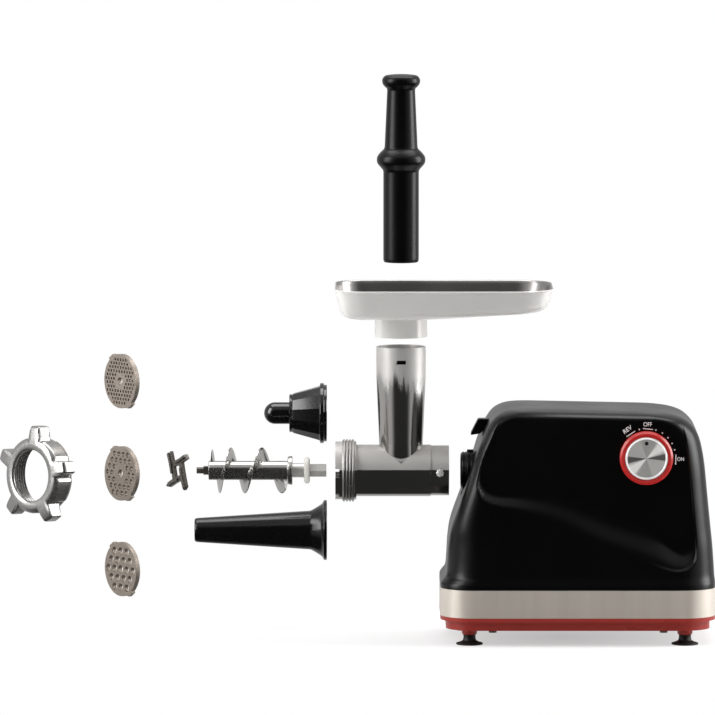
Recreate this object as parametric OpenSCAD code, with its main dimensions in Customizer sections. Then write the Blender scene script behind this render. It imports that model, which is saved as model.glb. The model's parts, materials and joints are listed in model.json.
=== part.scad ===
// Electric meat grinder, laid out in the order in which it goes together.
// Origin: centre of the accessory boss, on its front face, where the drive comes out.
// X runs back along the drive, Y across away from the dial side, Z up. Millimetres.

/* [Motor unit] */
// Length of the steel band, front to back
band_l = 274; // [266:1:290]
// Width of the steel band
band_w = 165; // [160:1:180]
// Height of the steel band
band_h = 27.6; // [22:0.1:32]
// How far the band reaches in front of the boss face
band_front = 20.5; // [16:0.5:26]
// Drive axis above the top of the band
axis_over_band = 111.7; // [108:0.1:116]
// Height of the black housing above the band
housing_h = 181.2; // [176:0.1:186]
// Front of the glossy side panel, in from the side of the band
panel_inset = 12.5; // [11:0.1:14]
// Corner radius of the band, seen from above
band_r = 34; // [26:1:40]
// Wall of the housing, band and base
wall = 3; // [2.4:0.1:3.6]
// Height of the red base under the band
base_h = 13; // [11:0.1:16]
// Height of the lip at the top of the red base
base_lip_h = 4; // [3:0.1:6]
// Step from the lip in to the lower part of the base
base_inset = 5.5; // [3:0.1:8]
// Radius of a suction foot
foot_r = 13.5; // [11:0.1:15]
// Height of a suction foot under the base
foot_h = 15.5; // [12:0.1:18]
// First pair of feet, behind the front of the band
foot_front = 29; // [26:1:40]
// Second pair of feet, ahead of the back of the band
foot_back = 30.5; // [26:0.5:40]
// Distance between the feet across
foot_span = 118; // [100:1:122]

/* [Accessory boss] */
// Outer radius of the boss
boss_r = 18.8; // [18.4:0.05:19.2]
// Inner radius of the boss, around the coupling
boss_bore_r = 14.4; // [14:0.05:15]
// Length of the boss in front of the housing stop
boss_l = 14; // [12:0.5:17]
// How far the tube head slides over the boss
dock_l = 6.5; // [5.5:0.1:7.5]

/* [Dial] */
// Dial centre behind the boss face
dial_x = 183.5; // [175:0.5:195]
// Dial centre above the drive axis
dial_z = 20.2; // [10:0.1:24]
// Radius of the red dial ring
dial_r = 26.5; // [22:0.1:29]
// Radius of the metal dial face
dial_face_r = 21.5; // [17:0.1:21.5]
// How far the dial stands out of the side panel
dial_h = 11; // [8:0.1:14]
// Radius of the dial shaft
dial_shaft_r = 3; // [2.5:0.1:4]

/* [Drive train] */
// Module of the gears next to the motor
fast_module = 0.9; // [0.8:0.05:1]
// Module of the gears next to the output
slow_module = 1.4; // [1.2:0.05:1.5]
// Teeth on each steel pinion
pinion_teeth = 10; // [10:1:12]
// Teeth on the idler wheel
idler_teeth = 60; // [54:2:64]
// Teeth on the output wheel
output_teeth = 56; // [50:2:58]
// Play between meshing teeth
backlash = 0.3; // [0.2:0.05:0.5]
// Face width of the output wheel
output_face_w = 14; // [10:1:16]
// Face width of the idler wheel
idler_face_w = 9; // [7:1:10]
// Sideways offset of the idler from the drive axis
idler_offset = 20; // [14:1:24]
// Radius of the output shaft
output_shaft_r = 8; // [7:0.1:9]
// Radius of the idler shaft
idler_shaft_r = 4; // [3.5:0.1:5]
// Radius of the rotor shaft
rotor_shaft_r = 4; // [3.5:0.1:4]
// Radial clearance of shafts in their bushes
shaft_play = 0.05; // [0.03:0.01:0.08]
// Radial clearance between turning pieces that never touch
air_gap = 0.6; // [0.4:0.1:1]
// Across-flats of the hexagonal drive socket
hex_af = 12.4; // [12.3:0.05:12.6]

/* [Motor] */
// Length of the stator stack
stator_l = 46; // [40:1:52]
// Width of the stator stack
stator_w = 76; // [70:1:80]
// Height of the stator stack
stator_h = 64; // [60:1:68]
// Radius of the rotor core
rotor_r = 20; // [17:0.1:21]
// Radius of the cooling fan
fan_r = 32; // [28:0.5:34]

/* [Tube head] */
// Inner radius of the barrel
barrel_bore_r = 23.5; // [23.3:0.05:24]
// Wall of the barrel
barrel_wall = 2.35; // [2:0.05:3]
// Length of the tube head, front to back
head_l = 113.7; // [112:0.1:116]
// Radius of the plate seat in the mouth
plate_seat_r = 27.3; // [27.25:0.01:27.4]
// Outer radius of the mouth
mouth_r = 29; // [28.8:0.05:29.2]
// Crest radius of the thread on the mouth
thread_r = 31.3; // [31:0.05:31.6]
// Distance from one thread crest to the next
thread_pitch = 3; // [2.5:0.1:3.5]
// Outer radius of the rear collar
collar_r = 25; // [24:0.1:26]
// Length of the rear collar
collar_l = 18.4; // [16:0.1:20]
// Outer radius of the neck at its top
neck_r = 24.7; // [24.2:0.05:25]
// Outer radius of the neck where it meets the barrel
neck_foot_r = 21.85; // [21.5:0.05:22.5]
// Wall of the neck
neck_wall = 2; // [1.8:0.1:2.5]
// Height of the neck top above the drive axis
neck_top = 124.5; // [118:0.5:130]
// Height at which the neck starts to taper
neck_taper_top = 94.5; // [86:0.5:98]
// Neck centre ahead of the back of the head
neck_back = 48; // [46:0.5:50]

/* [Auger and knife] */
// Outer radius of the auger flight
auger_r = 23; // [22:0.1:23.1]
// Radius of the auger root
auger_root_r = 9.5; // [9:0.1:10.5]
// Length of the auger flight part
auger_flight_l = 79; // [76:0.5:82]
// Advance of the flight in its first turn at the mouth
auger_first_pitch = 19.1; // [17:0.1:21]
// Growth of the pitch from one turn to the next
auger_pitch_growth = 11.7; // [9:0.1:13]
// Turns of the flight
auger_turns = 2.62; // [2.4:0.02:2.66]
// Radius of the auger shaft
auger_shaft_r = 7; // [6.7:0.05:7.2]
// Length of the auger shaft behind its collar
auger_shaft_l = 17.6; // [16:0.1:19]
// Length of the hexagonal drive end
hex_l = 16.3; // [14:0.1:17]
// Across-flats of the hexagonal drive end
hex_end_af = 12; // [11.8:0.05:12]
// Side of the square at the auger's front
square_side = 8; // [7.8:0.05:8.1]
// Length of that square
square_l = 5; // [4:0.1:5.2]
// Radius of the pin ahead of the square
tip_r = 3.2; // [3:0.05:3.4]
// Length of the pin ahead of the square
tip_l = 6.9; // [6:0.1:7]
// Thickness of the thrust washer
washer_t = 6; // [5:0.1:6.5]
// Outer radius of the thrust washer
washer_r = 13; // [12:0.1:14]
// Reach of a knife blade from the axis
knife_r = 25; // [23:0.1:26]
// Thickness of the knife hub
knife_hub_t = 5; // [4:0.1:5.4]
// How far the blades stand ahead of the hub
knife_edge = 2.2; // [2:0.1:2.4]
// Play of the knife's square hole on the auger's square, each side
knife_play = 0.4; // [0.35:0.05:0.6]

/* [Plates] */
// Radius of a cutting plate
plate_r = 27; // [26.6:0.05:27.1]
// Thickness of a cutting plate
plate_t = 4.7; // [4:0.1:5]
// How far the two tabs stand out of a plate
plate_tab = 1.8; // [1.4:0.1:2]
// Width of a plate tab
plate_tab_w = 8; // [6:0.1:9]
// Place of the tabs round a plate, up from level, degrees
plate_tab_turn = 57; // [50:1:62]
// Radius of the centre hole in a plate
plate_hole_r = 4; // [3.9:0.05:4.3]
// Hole diameter of the fine plate
fine_hole_d = 3; // [2.6:0.1:3.2]
// Hole diameter of the medium plate
medium_hole_d = 5; // [4.6:0.1:5.4]
// Hole diameter of the coarse plate
coarse_hole_d = 7.4; // [6.8:0.1:7.8]

/* [Ring nut] */
// Outer radius of the ring
ring_r = 37.4; // [36.6:0.1:38.5]
// Length of the ring
ring_l = 24; // [22:0.5:26]
// Radius of the ring's front opening
ring_mouth_r = 25.4; // [25:0.1:25.8]
// Thickness of the ring's front lip
ring_lip = 4; // [3.5:0.1:5]
// Reach of a finger lug from the axis
lug_r = 50; // [46:0.5:53]
// Place of the first finger lug round the ring, degrees
lug_start = 93; // [85:1:105]
// Number of finger lugs
lug_count = 5; // [4:1:6]
// Clearance of the ring's thread over the head's thread
thread_play = 0.8; // [0.7:0.05:1]

/* [Tray and pusher] */
// Length of the tray
tray_l = 218.6; // [205:0.1:230]
// Width of the tray
tray_w = 146; // [136:1:155]
// Depth of the tray
tray_h = 30; // [27:0.5:34]
// Rise of the tray's floor at its far end
tray_rise = 7; // [4:0.5:9]
// Sheet thickness of the tray
tray_t = 1.2; // [1:0.1:1.6]
// Length of the tray's spigot
spigot_l = 21; // [18:0.5:24]
// Clearance of the spigot over the neck
spigot_play = 0.3; // [0.25:0.05:0.45]
// Tray edge to its spigot centre, on the mouth side
tray_lead = 66.5; // [60:0.5:70]
// Radius of the pusher's shank
pusher_r = 17.75; // [17:0.05:18.5]
// Radius of the pusher's stop collar
pusher_collar_r = 24.35; // [23.8:0.05:25]
// Length of the pusher's shank under the collar
pusher_shank_l = 92.5; // [85:0.5:94]
// Length of the pusher's handle above the collar
pusher_handle_l = 74.6; // [68:0.1:80]
// Radius of the pusher's top knob
pusher_knob_r = 19; // [17:0.1:20]

/* [Sausage and kebbe sets] */
// Radius of the flange that the ring nut holds
flange_r = 30.4; // [29:0.1:31]
// Length of the sausage tube
sausage_l = 134; // [125:1:140]
// Radius of the sausage tube at its tip
sausage_tip_r = 12; // [10:0.1:14]
// Radius of the sausage tube next to its flange
sausage_root_r = 20; // [18:0.1:21]
// Length of the kebbe set
kebbe_l = 63.5; // [58:0.5:66]
// Radius of the kebbe mandrel
kebbe_nose_r = 11; // [10:0.1:12]
// Wall of the black plastic pieces
tool_wall = 2.5; // [2:0.1:3]

/* [Layout] */
// Gap between the boss and the tube head
head_gap = 11.5; // [8:0.5:16]
// How far the auger is drawn out of the head
auger_out = 138.5; // [136:0.5:144]
// How far the thrust washer is drawn back along the auger's shaft
washer_slip = 11.5; // [8:0.5:11.5]
// How far the knife is drawn out from the auger
knife_out = 27; // [25:0.5:28]
// Tilt of the arcs along which the knife, plate and ring come home, degrees
arc_tilt = 3.6; // [0:0.1:6]
// Turn at which the knife is shown, degrees
knife_turn = 32; // [26:1:34]
// How far the plate is drawn out of the head
plate_out = 213; // [206:0.5:216]
// Turn at which the plates are shown, degrees
plate_turn = 37; // [32:0.5:40]
// How far the ring is drawn out of the head
ring_out = 296; // [288:0.5:300]
// Turn at which the ring is shown, degrees
ring_turn = 45; // [40:0.5:48]
// Height of the tray above its seat
tray_out = 31; // [22:0.5:34]
// Height of the pusher above its stop
pusher_out = 140.5; // [136:0.5:148]
// Fine plate above the drive axis
fine_plate_z = 96.5; // [90:0.1:105]
// Coarse plate below the drive axis
coarse_plate_z = -91; // [-100:0.1:-85]
// Kebbe set above the drive axis
kebbe_z = 49; // [46:0.5:60]
// Sausage tube below the drive axis
sausage_z = -70; // [-80:0.5:-66]
// Flanges of the kebbe set and sausage tube ahead of the head's back
side_tools_out = 122.5; // [118:0.5:126]
// How far the kebbe set and sausage tube lie behind the drive axis
side_tools_y = 88; // [84:1:100]

/* [Hidden] */
$fn = 64;
HULL_FN = 32;
PRESSURE_ANGLE = 25;
ADDENDUM = 0.8;
DEDENDUM = 1.05;
SKIN = 0.01;
RAD = PI / 180;

// Motor unit levels and edges
band_top = -axis_over_band;
band_bottom = band_top - band_h;
base_bottom = band_bottom - base_h;
floor_z = base_bottom - foot_h;
band_back = band_l - band_front;
band_mid_x = (band_back - band_front) / 2;
housing_top = band_top + housing_h;
panel_y = -(band_w / 2 - panel_inset);
panel_t = 2;

// Drive train places, seen along X as [Y, Z]
fast_distance = fast_module * (pinion_teeth + idler_teeth) / 2;
slow_distance = slow_module * (pinion_teeth + output_teeth) / 2;
idler_at = [idler_offset, -sqrt(pow(slow_distance, 2) - pow(idler_offset, 2))];
rotor_at = [0, idler_at[1] - sqrt(pow(fast_distance, 2) - pow(idler_offset, 2))];
case_x = 34;
case_wall = 4;
output_x = case_x + case_wall + 2;
idler_x = output_x + output_face_w + 3;
cover_x = idler_x + idler_face_w + 4;
case_margin = 6;
fan_room = 36;
brush_room = 34;
stator_x = cover_x + fan_room;
rear_bracket_x = stator_x + stator_l + brush_room;
coupling_r = boss_bore_r - 0.4;

// Tube head, in its own frame: back end at x = 0, mouth at x = -head_l
head_x = -head_gap;
collar_room_r = collar_r + 0.6;
collar_room_x = dock_l + 0.5;
dock_travel = head_gap + dock_l;
head_wall_x = -8.1;
head_wall_t = 4;
bush_r = 10;
plate_chamber_l = 12;
mouth_l = 8.1;
thread_l = 11;
neck_x = -neck_back;
tab_notch_l = 4;
lip_gap = 0.1;

// Auger in the head's frame: its tip is level with the front of the plate
plate_front = -head_l - (plate_t - tab_notch_l);
plate_seat_x = plate_front + plate_t / 2;
auger_tip_x = plate_front + 0.3;
shoulder_x = auger_tip_x + tip_l + square_l;
auger_back_x = shoulder_x + auger_flight_l;
flange_collar_t = head_wall_x - head_wall_t - washer_t - auger_back_x;
knife_seat_x = shoulder_x - knife_hub_t / 2;
shank_end_x = head_wall_x - head_wall_t - washer_t + auger_shaft_l + hex_l;
washer_seat_x = head_wall_x - head_wall_t - washer_t / 2;
coupling_x = dock_l + shank_end_x - hex_l + 0.8;
knife_arc = knife_out / sin(knife_turn);
plate_arc = plate_out / sin(plate_turn);
ring_arc = ring_out / sin(ring_turn);
ring_front = plate_front - ring_lip - lip_gap;
ring_bore_r = thread_r + thread_play;

// Tray and pusher heights above the drive axis, as drawn
tray_floor = neck_top + tray_out;
tray_rim = tray_floor + tray_h;
spigot_bore_r = neck_r + spigot_play;
pusher_seat_h = 4.5;
pusher_stop = tray_floor + tray_t + pusher_seat_h + pusher_out;
loose_x = head_x + plate_seat_x - plate_out;
loose_y = plate_arc * (cos(plate_turn) - 1);

// ---------- shared shapes ----------

// Turns a shape drawn on the XY plane so that it is seen along X, and its height runs back
module along_x(x = 0, at = [0, 0]) {
    translate([x, at[0], at[1]]) rotate([90, 0, 90]) children();
}

module tube_x(x, outer, inner, length) {
    along_x(x) difference() {
        cylinder(r = outer, h = length);
        translate([0, 0, -1]) cylinder(r = inner, h = length + 2);
    }
}

module round_rect(length, width, radius) {
    square([length - 2 * radius, width], center = true);
    square([length, width - 2 * radius], center = true);
    for (sx = [-1, 1], sy = [-1, 1])
        translate([sx * (length / 2 - radius), sy * (width / 2 - radius)]) circle(r = radius);
}

// Involute tooth flank point at a given radius, measured from the tooth's middle
function roll(base, r) = sqrt(max(0, pow(r / base, 2) - 1)) / RAD;
function involute(base, r) = roll(base, r) - atan(roll(base, r) * RAD);
function flank_angle(m, z, r, play) =
    let (base = m * z / 2 * cos(PRESSURE_ANGLE), pitch = m * z / 2)
    90 / z - play / 4 / pitch / RAD + involute(base, pitch) - involute(base, max(r, base));
function polar(r, a) = [r * cos(a), r * sin(a)];

function tooth(m, z, play) =
    let (root = m * (z / 2 - DEDENDUM), tip = m * (z / 2 + ADDENDUM),
         base = m * z / 2 * cos(PRESSURE_ANGLE), foot = max(root + SKIN, base), steps = 4)
    concat(
        [polar(root, -flank_angle(m, z, foot, play))],
        [for (i = [0:steps]) let (r = foot + (tip - foot) * i / steps)
            polar(r, -flank_angle(m, z, r, play))],
        [for (i = [steps:-1:0]) let (r = foot + (tip - foot) * i / steps)
            polar(r, flank_angle(m, z, r, play))],
        [polar(root, flank_angle(m, z, foot, play))]
    );

module gear_outline(m, z, phase) {
    one = tooth(m, z, backlash);
    rotate(phase) polygon([for (i = [0:z - 1], p = one)
        let (a = 360 * i / z) [p[0] * cos(a) - p[1] * sin(a), p[0] * sin(a) + p[1] * cos(a)]]);
}

function line_angle(a, b) = atan2(b[1] - a[1], b[0] - a[0]);

module screw(length, head_r, shank_r) {
    difference() {
        union() {
            cylinder(r = head_r, h = head_r * 0.7);
            translate([0, 0, -length]) cylinder(r = shank_r, h = length + SKIN);
        }
        for (turn = [0, 90]) rotate(turn)
            translate([-head_r * 0.6, -head_r * 0.14, head_r * 0.35])
                cube([head_r * 1.2, head_r * 0.28, head_r]);
    }
}

// ---------- motor unit ----------

// Housing sections: [height above band, front, back and side insets, corner radius]
housing_sections = [
    [0, 0, 0, 0, band_r],
    [10, 5.5, 1, 4, band_r],
    [43, 8, 3, 5.5, band_r],
    [62, 11, 5, 6, band_r],
    [92, 23, 8, 6.5, band_r - 2],
    [137, 36, 13.5, 7, band_r - 4],
    [housing_h - 21.2, 46, 19, 8.5, band_r - 6],
    [housing_h - 9.2, 55, 28, 14, band_r - 7],
    [housing_h - 2.7, 68, 40, 23, band_r - 8],
    [housing_h - SKIN, 84, 60, 38, band_r - 10]
];

module housing_form(inset) {
    hull() for (s = housing_sections, sx = [-1, 1], sy = [-1, 1]) {
        r = s[4] - inset;
        x = sx < 0 ? s[1] - band_front + s[4] : band_back - s[2] - s[4];
        y = sy * (band_w / 2 - s[3] - s[4]);
        z = band_top + s[0] - (s[0] > housing_h - 5 ? inset : 0);
        translate([x, y, z]) cylinder(r = r, h = SKIN, $fn = HULL_FN);
    }
}

panel_points = [
    [44, 48], [27, 29], [18.5, 0], [20, -14], [34, -36], [92, -40], [148, -58],
    [200, -92], [226, -100], [238, -68], [229, 34], [222, 44], [211, 49]
];

module panel_outline(inset) {
    hull() for (p = panel_points)
        translate([p[0], p[1]]) circle(r = 4 - inset, $fn = HULL_FN);
}

module upper_housing() {
    color("#17181A") for (side = [-1, 1]) difference() {
        translate([lever_at[0] - 2.5, side * ear_y - ear_w / 2, lever_at[1] - 4])
            cube([7, ear_w, 8]);
        translate([lever_at[0], side * ear_y, lever_at[1]]) rotate([90, 0, 0])
            cylinder(r = lever_pin_r + SKIN, h = 2 * ear_w, center = true);
    }
    color("#17181A") intersection() {
        housing_form(0);
        translate([0, panel_y + panel_t, 0]) rotate([90, 0, 0]) linear_extrude(panel_inset + panel_t)
            difference() {
                panel_outline(-wall);
                panel_outline(0);
            }
    }
    color("#17181A") intersection() {
        housing_form(0);
        along_x(-band_front) difference() {
            cylinder(r = collar_room_r + wall, h = collar_room_x + band_front + wall);
            translate([0, 0, -1]) cylinder(r = collar_room_r, h = collar_room_x + band_front + 1);
            cylinder(r = boss_r + boss_step + 0.1, h = 80);
        }
    }
    color("#17181A") difference() {
        housing_form(0);
        housing_form(wall);
        along_x(-band_front) cylinder(r = collar_room_r, h = collar_room_x + band_front);
        translate([lever_at[0], 0, lever_at[1]]) rotate([90, 0, 0])
            cylinder(r = lever_pin_r + SKIN, h = 2 * ear_y + 3 * ear_w, center = true);
        translate([-band_front + wall, -band_w / 2 + wall, band_top - 1])
            translate([band_r, band_r, 0]) cube([band_l - 2 * band_r, band_w - 2 * band_r, 3]);
        along_x(-band_front) cylinder(r = boss_r + boss_step + 0.1, h = 80);
        translate([0, panel_y + panel_t + 1, 0]) rotate([90, 0, 0])
            linear_extrude(30) panel_outline(0);
        translate([dial_x, 0, dial_z]) rotate([90, 0, 0]) cylinder(r = 8, h = band_w);
        lever_slot();
        translate([lever_at[0], 0, lever_at[1]]) rotate([90, 0, 0])
            cylinder(r = 3, h = 2 * ear_y - ear_w, center = true);
        inlet_hole();
        for (row = [0:5]) translate([band_back - 60, 0, band_top + 40 + 9 * row])
            translate([0, -30, 0]) cube([80, 60, 3]);
    }
}

module side_panel() {
    color("#0B0B0C") translate([0, panel_y + panel_t, 0]) rotate([90, 0, 0]) difference() {
        linear_extrude(panel_t) panel_outline(0.4);
        translate([dial_x, dial_z, -1]) cylinder(r = switch_neck_r + 0.2, h = panel_t + 2);
    }
}

module steel_band() {
    color("#A9A39A") translate([band_mid_x, 0, band_bottom]) difference() {
        linear_extrude(band_h) round_rect(band_l, band_w, band_r);
        translate([0, 0, -1]) linear_extrude(band_h + 2)
            round_rect(band_l - 2 * wall, band_w - 2 * wall, band_r - wall);
    }
}

function foot_places() = [for (x = [-band_front + foot_front, band_back - foot_back],
    y = [-foot_span / 2, foot_span / 2]) [x, y]];
base_floor_t = 4;

module base_tray() {
    post_top = rotor_at[1] - stator_h / 2;
    color("#9A2C22") for (x = [stator_x + 2, stator_x + stator_l - 10])
        translate([x, -stator_w / 3, base_bottom + base_floor_t - SKIN])
            cube([8, stator_w * 2 / 3, post_top - base_bottom - base_floor_t + SKIN]);
    color("#9A2C22") difference() {
        union() {
            translate([band_mid_x, 0, band_bottom - base_lip_h]) linear_extrude(base_lip_h)
                round_rect(band_l, band_w, band_r);
            translate([band_mid_x, 0, base_bottom]) linear_extrude(base_h - base_lip_h + SKIN)
                round_rect(band_l - 2 * base_inset, band_w - 2 * base_inset, band_r - base_inset);
        }
        translate([band_mid_x, 0, base_bottom + base_floor_t]) linear_extrude(base_h)
            round_rect(band_l - 2 * base_inset - 2 * wall, band_w - 2 * base_inset - 2 * wall,
                band_r - base_inset - wall);
        for (i = [-4:4]) translate([band_mid_x + 75 + 6 * i - 1.5, -30, base_bottom - 1])
            cube([3, 60, base_floor_t + 2]);
        for (p = foot_places()) translate([p[0], p[1], base_bottom - 1])
            cylinder(r = foot_pin_r, h = base_floor_t + 2);
        for (p = screw_places()) translate([p[0], p[1], base_bottom - 1])
            cylinder(r = 2.2, h = base_floor_t + 2);
    }
}

foot_pin_r = 4;

module suction_feet() {
    color("#1A1A1A") for (p = foot_places()) translate([p[0], p[1], floor_z]) {
        rotate_extrude() polygon([
            [2, 2.4], [foot_r - 4.5, 2], [foot_r - 3.5, 0], [foot_r, 0], [foot_r, 1.2], [foot_r - 2.5, 3.6],
            [8, 5.4], [7.6, foot_h], [foot_pin_r, foot_h], [foot_pin_r, foot_h + base_floor_t],
            [6, foot_h + base_floor_t + 1], [3, foot_h + base_floor_t + 3], [0, foot_h + base_floor_t + 3],
            [0, 2.4]
        ]);
    }
}

function screw_places() = [for (x = [-band_front + 52, band_back - 52], y = [-66, 66]) [x, y]];

module base_screws() {
    color("silver") for (p = screw_places()) translate([p[0], p[1], base_bottom])
        mirror([0, 0, 1]) screw(10, 4, 2.1);
}

boss_step = 0.7;

module head_boss() {
    color("#101112") difference() {
        union() {
            along_x(0) cylinder(r = boss_r, h = dock_l + SKIN);
            along_x(dock_l) cylinder(r = boss_r + boss_step, h = case_x - dock_l);
            translate([dock_l, -4, boss_r - 1]) cube([6.5, 8, 3.2]);
        }
        along_x(-1) cylinder(r = boss_bore_r, h = case_x + 2);
    }
}

module case_outline(grow) {
    hull() {
        circle(r = slow_module * (output_teeth / 2 + 1) + grow, $fn = HULL_FN);
        translate(idler_at) circle(r = fast_module * (idler_teeth / 2 + 1) + grow, $fn = HULL_FN);
        translate(rotor_at) circle(r = 14 + grow, $fn = HULL_FN);
    }
}

module gearbox_case() {
    color("#6E6F70") difference() {
        along_x(case_x) linear_extrude(cover_x - case_x) case_outline(case_margin);
        along_x(case_x + case_wall) linear_extrude(cover_x) case_outline(2);
        along_x(case_x - 1) cylinder(r = bush_outer(output_shaft_r), h = 20);
        along_x(case_x - 1, idler_at) cylinder(r = bush_outer(idler_shaft_r), h = 20);
        for (a = case_screw_places()) along_x(cover_x - 12, a) cylinder(r = 1.6, h = 20);
    }
}

function bush_outer(r) = r + 2.5;
function case_screw_places() = [
    polar(slow_module * (output_teeth / 2 + 1) + 4, 40),
    polar(slow_module * (output_teeth / 2 + 1) + 4, 140),
    idler_at + polar(fast_module * (idler_teeth / 2 + 1) + 4, -15),
    rotor_at + polar(18, 200)
];

module gearbox_cover() {
    color("#7C7D7E") difference() {
        along_x(cover_x) linear_extrude(case_wall) case_outline(case_margin);
        along_x(cover_x - 1) cylinder(r = bush_outer(output_shaft_r), h = 20);
        along_x(cover_x - 1, idler_at) cylinder(r = bush_outer(idler_shaft_r), h = 20);
        along_x(cover_x - 1, rotor_at) cylinder(r = bush_outer(rotor_shaft_r), h = 20);
        for (a = case_screw_places()) along_x(cover_x - 1, a) cylinder(r = 1.8, h = 20);
    }
}

module gearbox_screws() {
    color("silver") for (a = case_screw_places()) along_x(cover_x + case_wall, a) screw(11, 3, 1.5);
}

module bush(x, at, r, length) {
    along_x(x, at) difference() {
        cylinder(r = bush_outer(r), h = length);
        translate([0, 0, -1]) cylinder(r = r + shaft_play, h = length + 2);
    }
}

module output_bushes() {
    color("#9C7A3C") {
        bush(case_x, [0, 0], output_shaft_r, case_wall);
        bush(cover_x, [0, 0], output_shaft_r, case_wall);
    }
}

module idler_bushes() {
    color("#9C7A3C") {
        bush(case_x, idler_at, idler_shaft_r, case_wall);
        bush(cover_x, idler_at, idler_shaft_r, case_wall);
    }
}

module rotor_bushes() {
    color("#9C7A3C") {
        bush(cover_x, rotor_at, rotor_shaft_r, case_wall);
        bush(rear_bracket_x, rotor_at, rotor_shaft_r, case_wall);
    }
}

coil_t = 10;
slot_r = rotor_r + air_gap;

module stator_core() {
    color("#5B5D60") along_x(stator_x, rotor_at) difference() {
        linear_extrude(stator_l) round_rect(stator_w, stator_h, 10);
        translate([0, 0, -1]) cylinder(r = slot_r, h = stator_l + 2);
        for (side = [-1, 1]) translate([0, side * (slot_r + 1), stator_l / 2])
            cube([stator_w * 0.46, 8, stator_l + 2], center = true);
    }
}

module field_windings() {
    color("#A5642E") for (side = [-1, 1]) along_x(stator_x - coil_t, rotor_at)
        translate([0, side * (slot_r + 1.2), 0]) difference() {
            translate([-stator_w * 0.22, -3, 0]) cube([stator_w * 0.44, 6, stator_l + 2 * coil_t]);
            translate([-stator_w * 0.14, -4, coil_t * 0.6])
                cube([stator_w * 0.28, 8, stator_l + coil_t * 0.8]);
        }
}

module rear_bracket() {
    color("#7C7D7E") {
        along_x(rear_bracket_x, rotor_at) difference() {
            linear_extrude(case_wall) round_rect(stator_w, stator_h, 10);
            translate([0, 0, -1]) cylinder(r = bush_outer(rotor_shaft_r), h = 20);
            for (a = [45:90:315]) rotate(a) translate([22, 0, -1]) cylinder(r = 5, h = 20);
        }
        for (sy = [-1, 1]) along_x(cover_x + case_wall, rotor_at)
            translate([sy * (stator_w / 2 + 3), 0, 0])
                translate([-3, -8, 0]) cube([6, 16, rear_bracket_x - cover_x]);
    }
}

commutator_r = 11;
brush_x = stator_x + stator_l + 22;

module brush_holders() {
    color("#2B2420") for (side = [-1, 1]) translate([brush_x, rotor_at[0], rotor_at[1]])
        difference() {
            translate([-5, side > 0 ? commutator_r + 2 : -commutator_r - 22, -4.5]) cube([10, 20, 9]);
            translate([-3.1, side > 0 ? commutator_r + 1 : -commutator_r - 18, -3.1])
                cube([6.2, 17, 6.2]);
        }
}

module carbon_brushes() {
    color("#3A3A3C") for (side = [-1, 1]) translate([brush_x, rotor_at[0], rotor_at[1]])
        translate([-3, side > 0 ? commutator_r + 0.3 : -commutator_r - 14.3, -3]) cube([6, 14, 6]);
}

switch_neck_r = 5;
switch_depth = 24;

module rotary_switch() {
    color("#2A2C2E") translate([dial_x, panel_y + panel_t + 1, dial_z]) rotate([-90, 0, 0])
        difference() {
            union() {
                translate([-14, -14, 0]) cube([28, 28, switch_depth]);
                translate([0, 0, -panel_t - 5]) cylinder(r = switch_neck_r, h = panel_t + 6);
            }
            translate([0, 0, -10]) cylinder(r = dial_shaft_r + shaft_play, h = 10 + switch_depth - 4);
        }
}

module switch_nut() {
    color("silver") translate([dial_x, panel_y - 0.2, dial_z]) rotate([90, 0, 0]) difference() {
        cylinder(r = 8, h = 2.6, $fn = 6);
        translate([0, 0, -1]) cylinder(r = switch_neck_r, h = 5);
    }
}

board_l = 90;
board_h = 50;
board_in = 42;
chip_l = 14;
chip_step = 26;
chip_h = 20;

module control_board() {
    color("#2F5B3A") translate([dial_x - board_l * 2 / 3, band_w / 2 - board_in, dial_z - board_h * 0.6]) {
        cube([board_l, 2, board_h]);
        for (i = [0:2]) translate([10 + chip_step * i, -12, 12]) cube([chip_l, 12 + SKIN, chip_h]);
        translate([4, 2 - SKIN, 4]) cube([6, 14, 6]);
    }
}

inlet_z = band_top + 26;
inlet_y = 38;
inlet_l = 11;

module inlet_hole() {
    along_x(band_back - 40, [inlet_y, inlet_z]) cylinder(r = 7, h = 60);
}

module cord_inlet() {
    color("#1A1A1A") along_x(band_back - wall - 9.5, [inlet_y, inlet_z]) difference() {
        union() {
            cylinder(r = 6.8, h = inlet_l);
            translate([0, 0, inlet_l - 7.4]) cylinder(r = 9, h = 3);
        }
        translate([0, 0, -1]) cylinder(r = 3.6, h = inlet_l + 2);
    }
}

// Lock lever: a rocker on the sloping front above the boss
lever_up = housing_h - 26.5;
lever_at = [lookup(lever_up, [for (s = housing_sections) [s[0], s[1]]]) - band_front + 3.8,
    band_top + lever_up];
lever_w = 14;
lever_gap = 0.6;
lever_pin_r = 1.5;
ear_w = 3;
ear_y = lever_w / 2 + 4.5;

module lever_slot() {
    translate([-band_front, -lever_w / 2 - lever_gap, lever_at[1] - 9.5])
        cube([lever_at[0] + band_front + 4, lever_w + 2 * lever_gap, 20]);
}

module lock_lever() {
    color("#0E0F10") translate([lever_at[0], 0, lever_at[1]]) difference() {
        rotate([90, 0, 0]) translate([0, 0, -lever_w / 2]) linear_extrude(lever_w) polygon([
            [3, 4], [3, -12], [-2, -12], [-3, -5], [-10, -6], [-16.5, -6.5], [-16.5, -2],
            [-6, 8], [-1.5, 9.5], [1, 5]
        ]);
        rotate([90, 0, 0]) cylinder(r = lever_pin_r + 0.05, h = 2 * lever_w, center = true);
    }
}

module lever_pin() {
    color("silver") translate([lever_at[0], 0, lever_at[1]]) rotate([90, 0, 0])
        cylinder(r = lever_pin_r, h = 2 * ear_y + ear_w, center = true);
}

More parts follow.
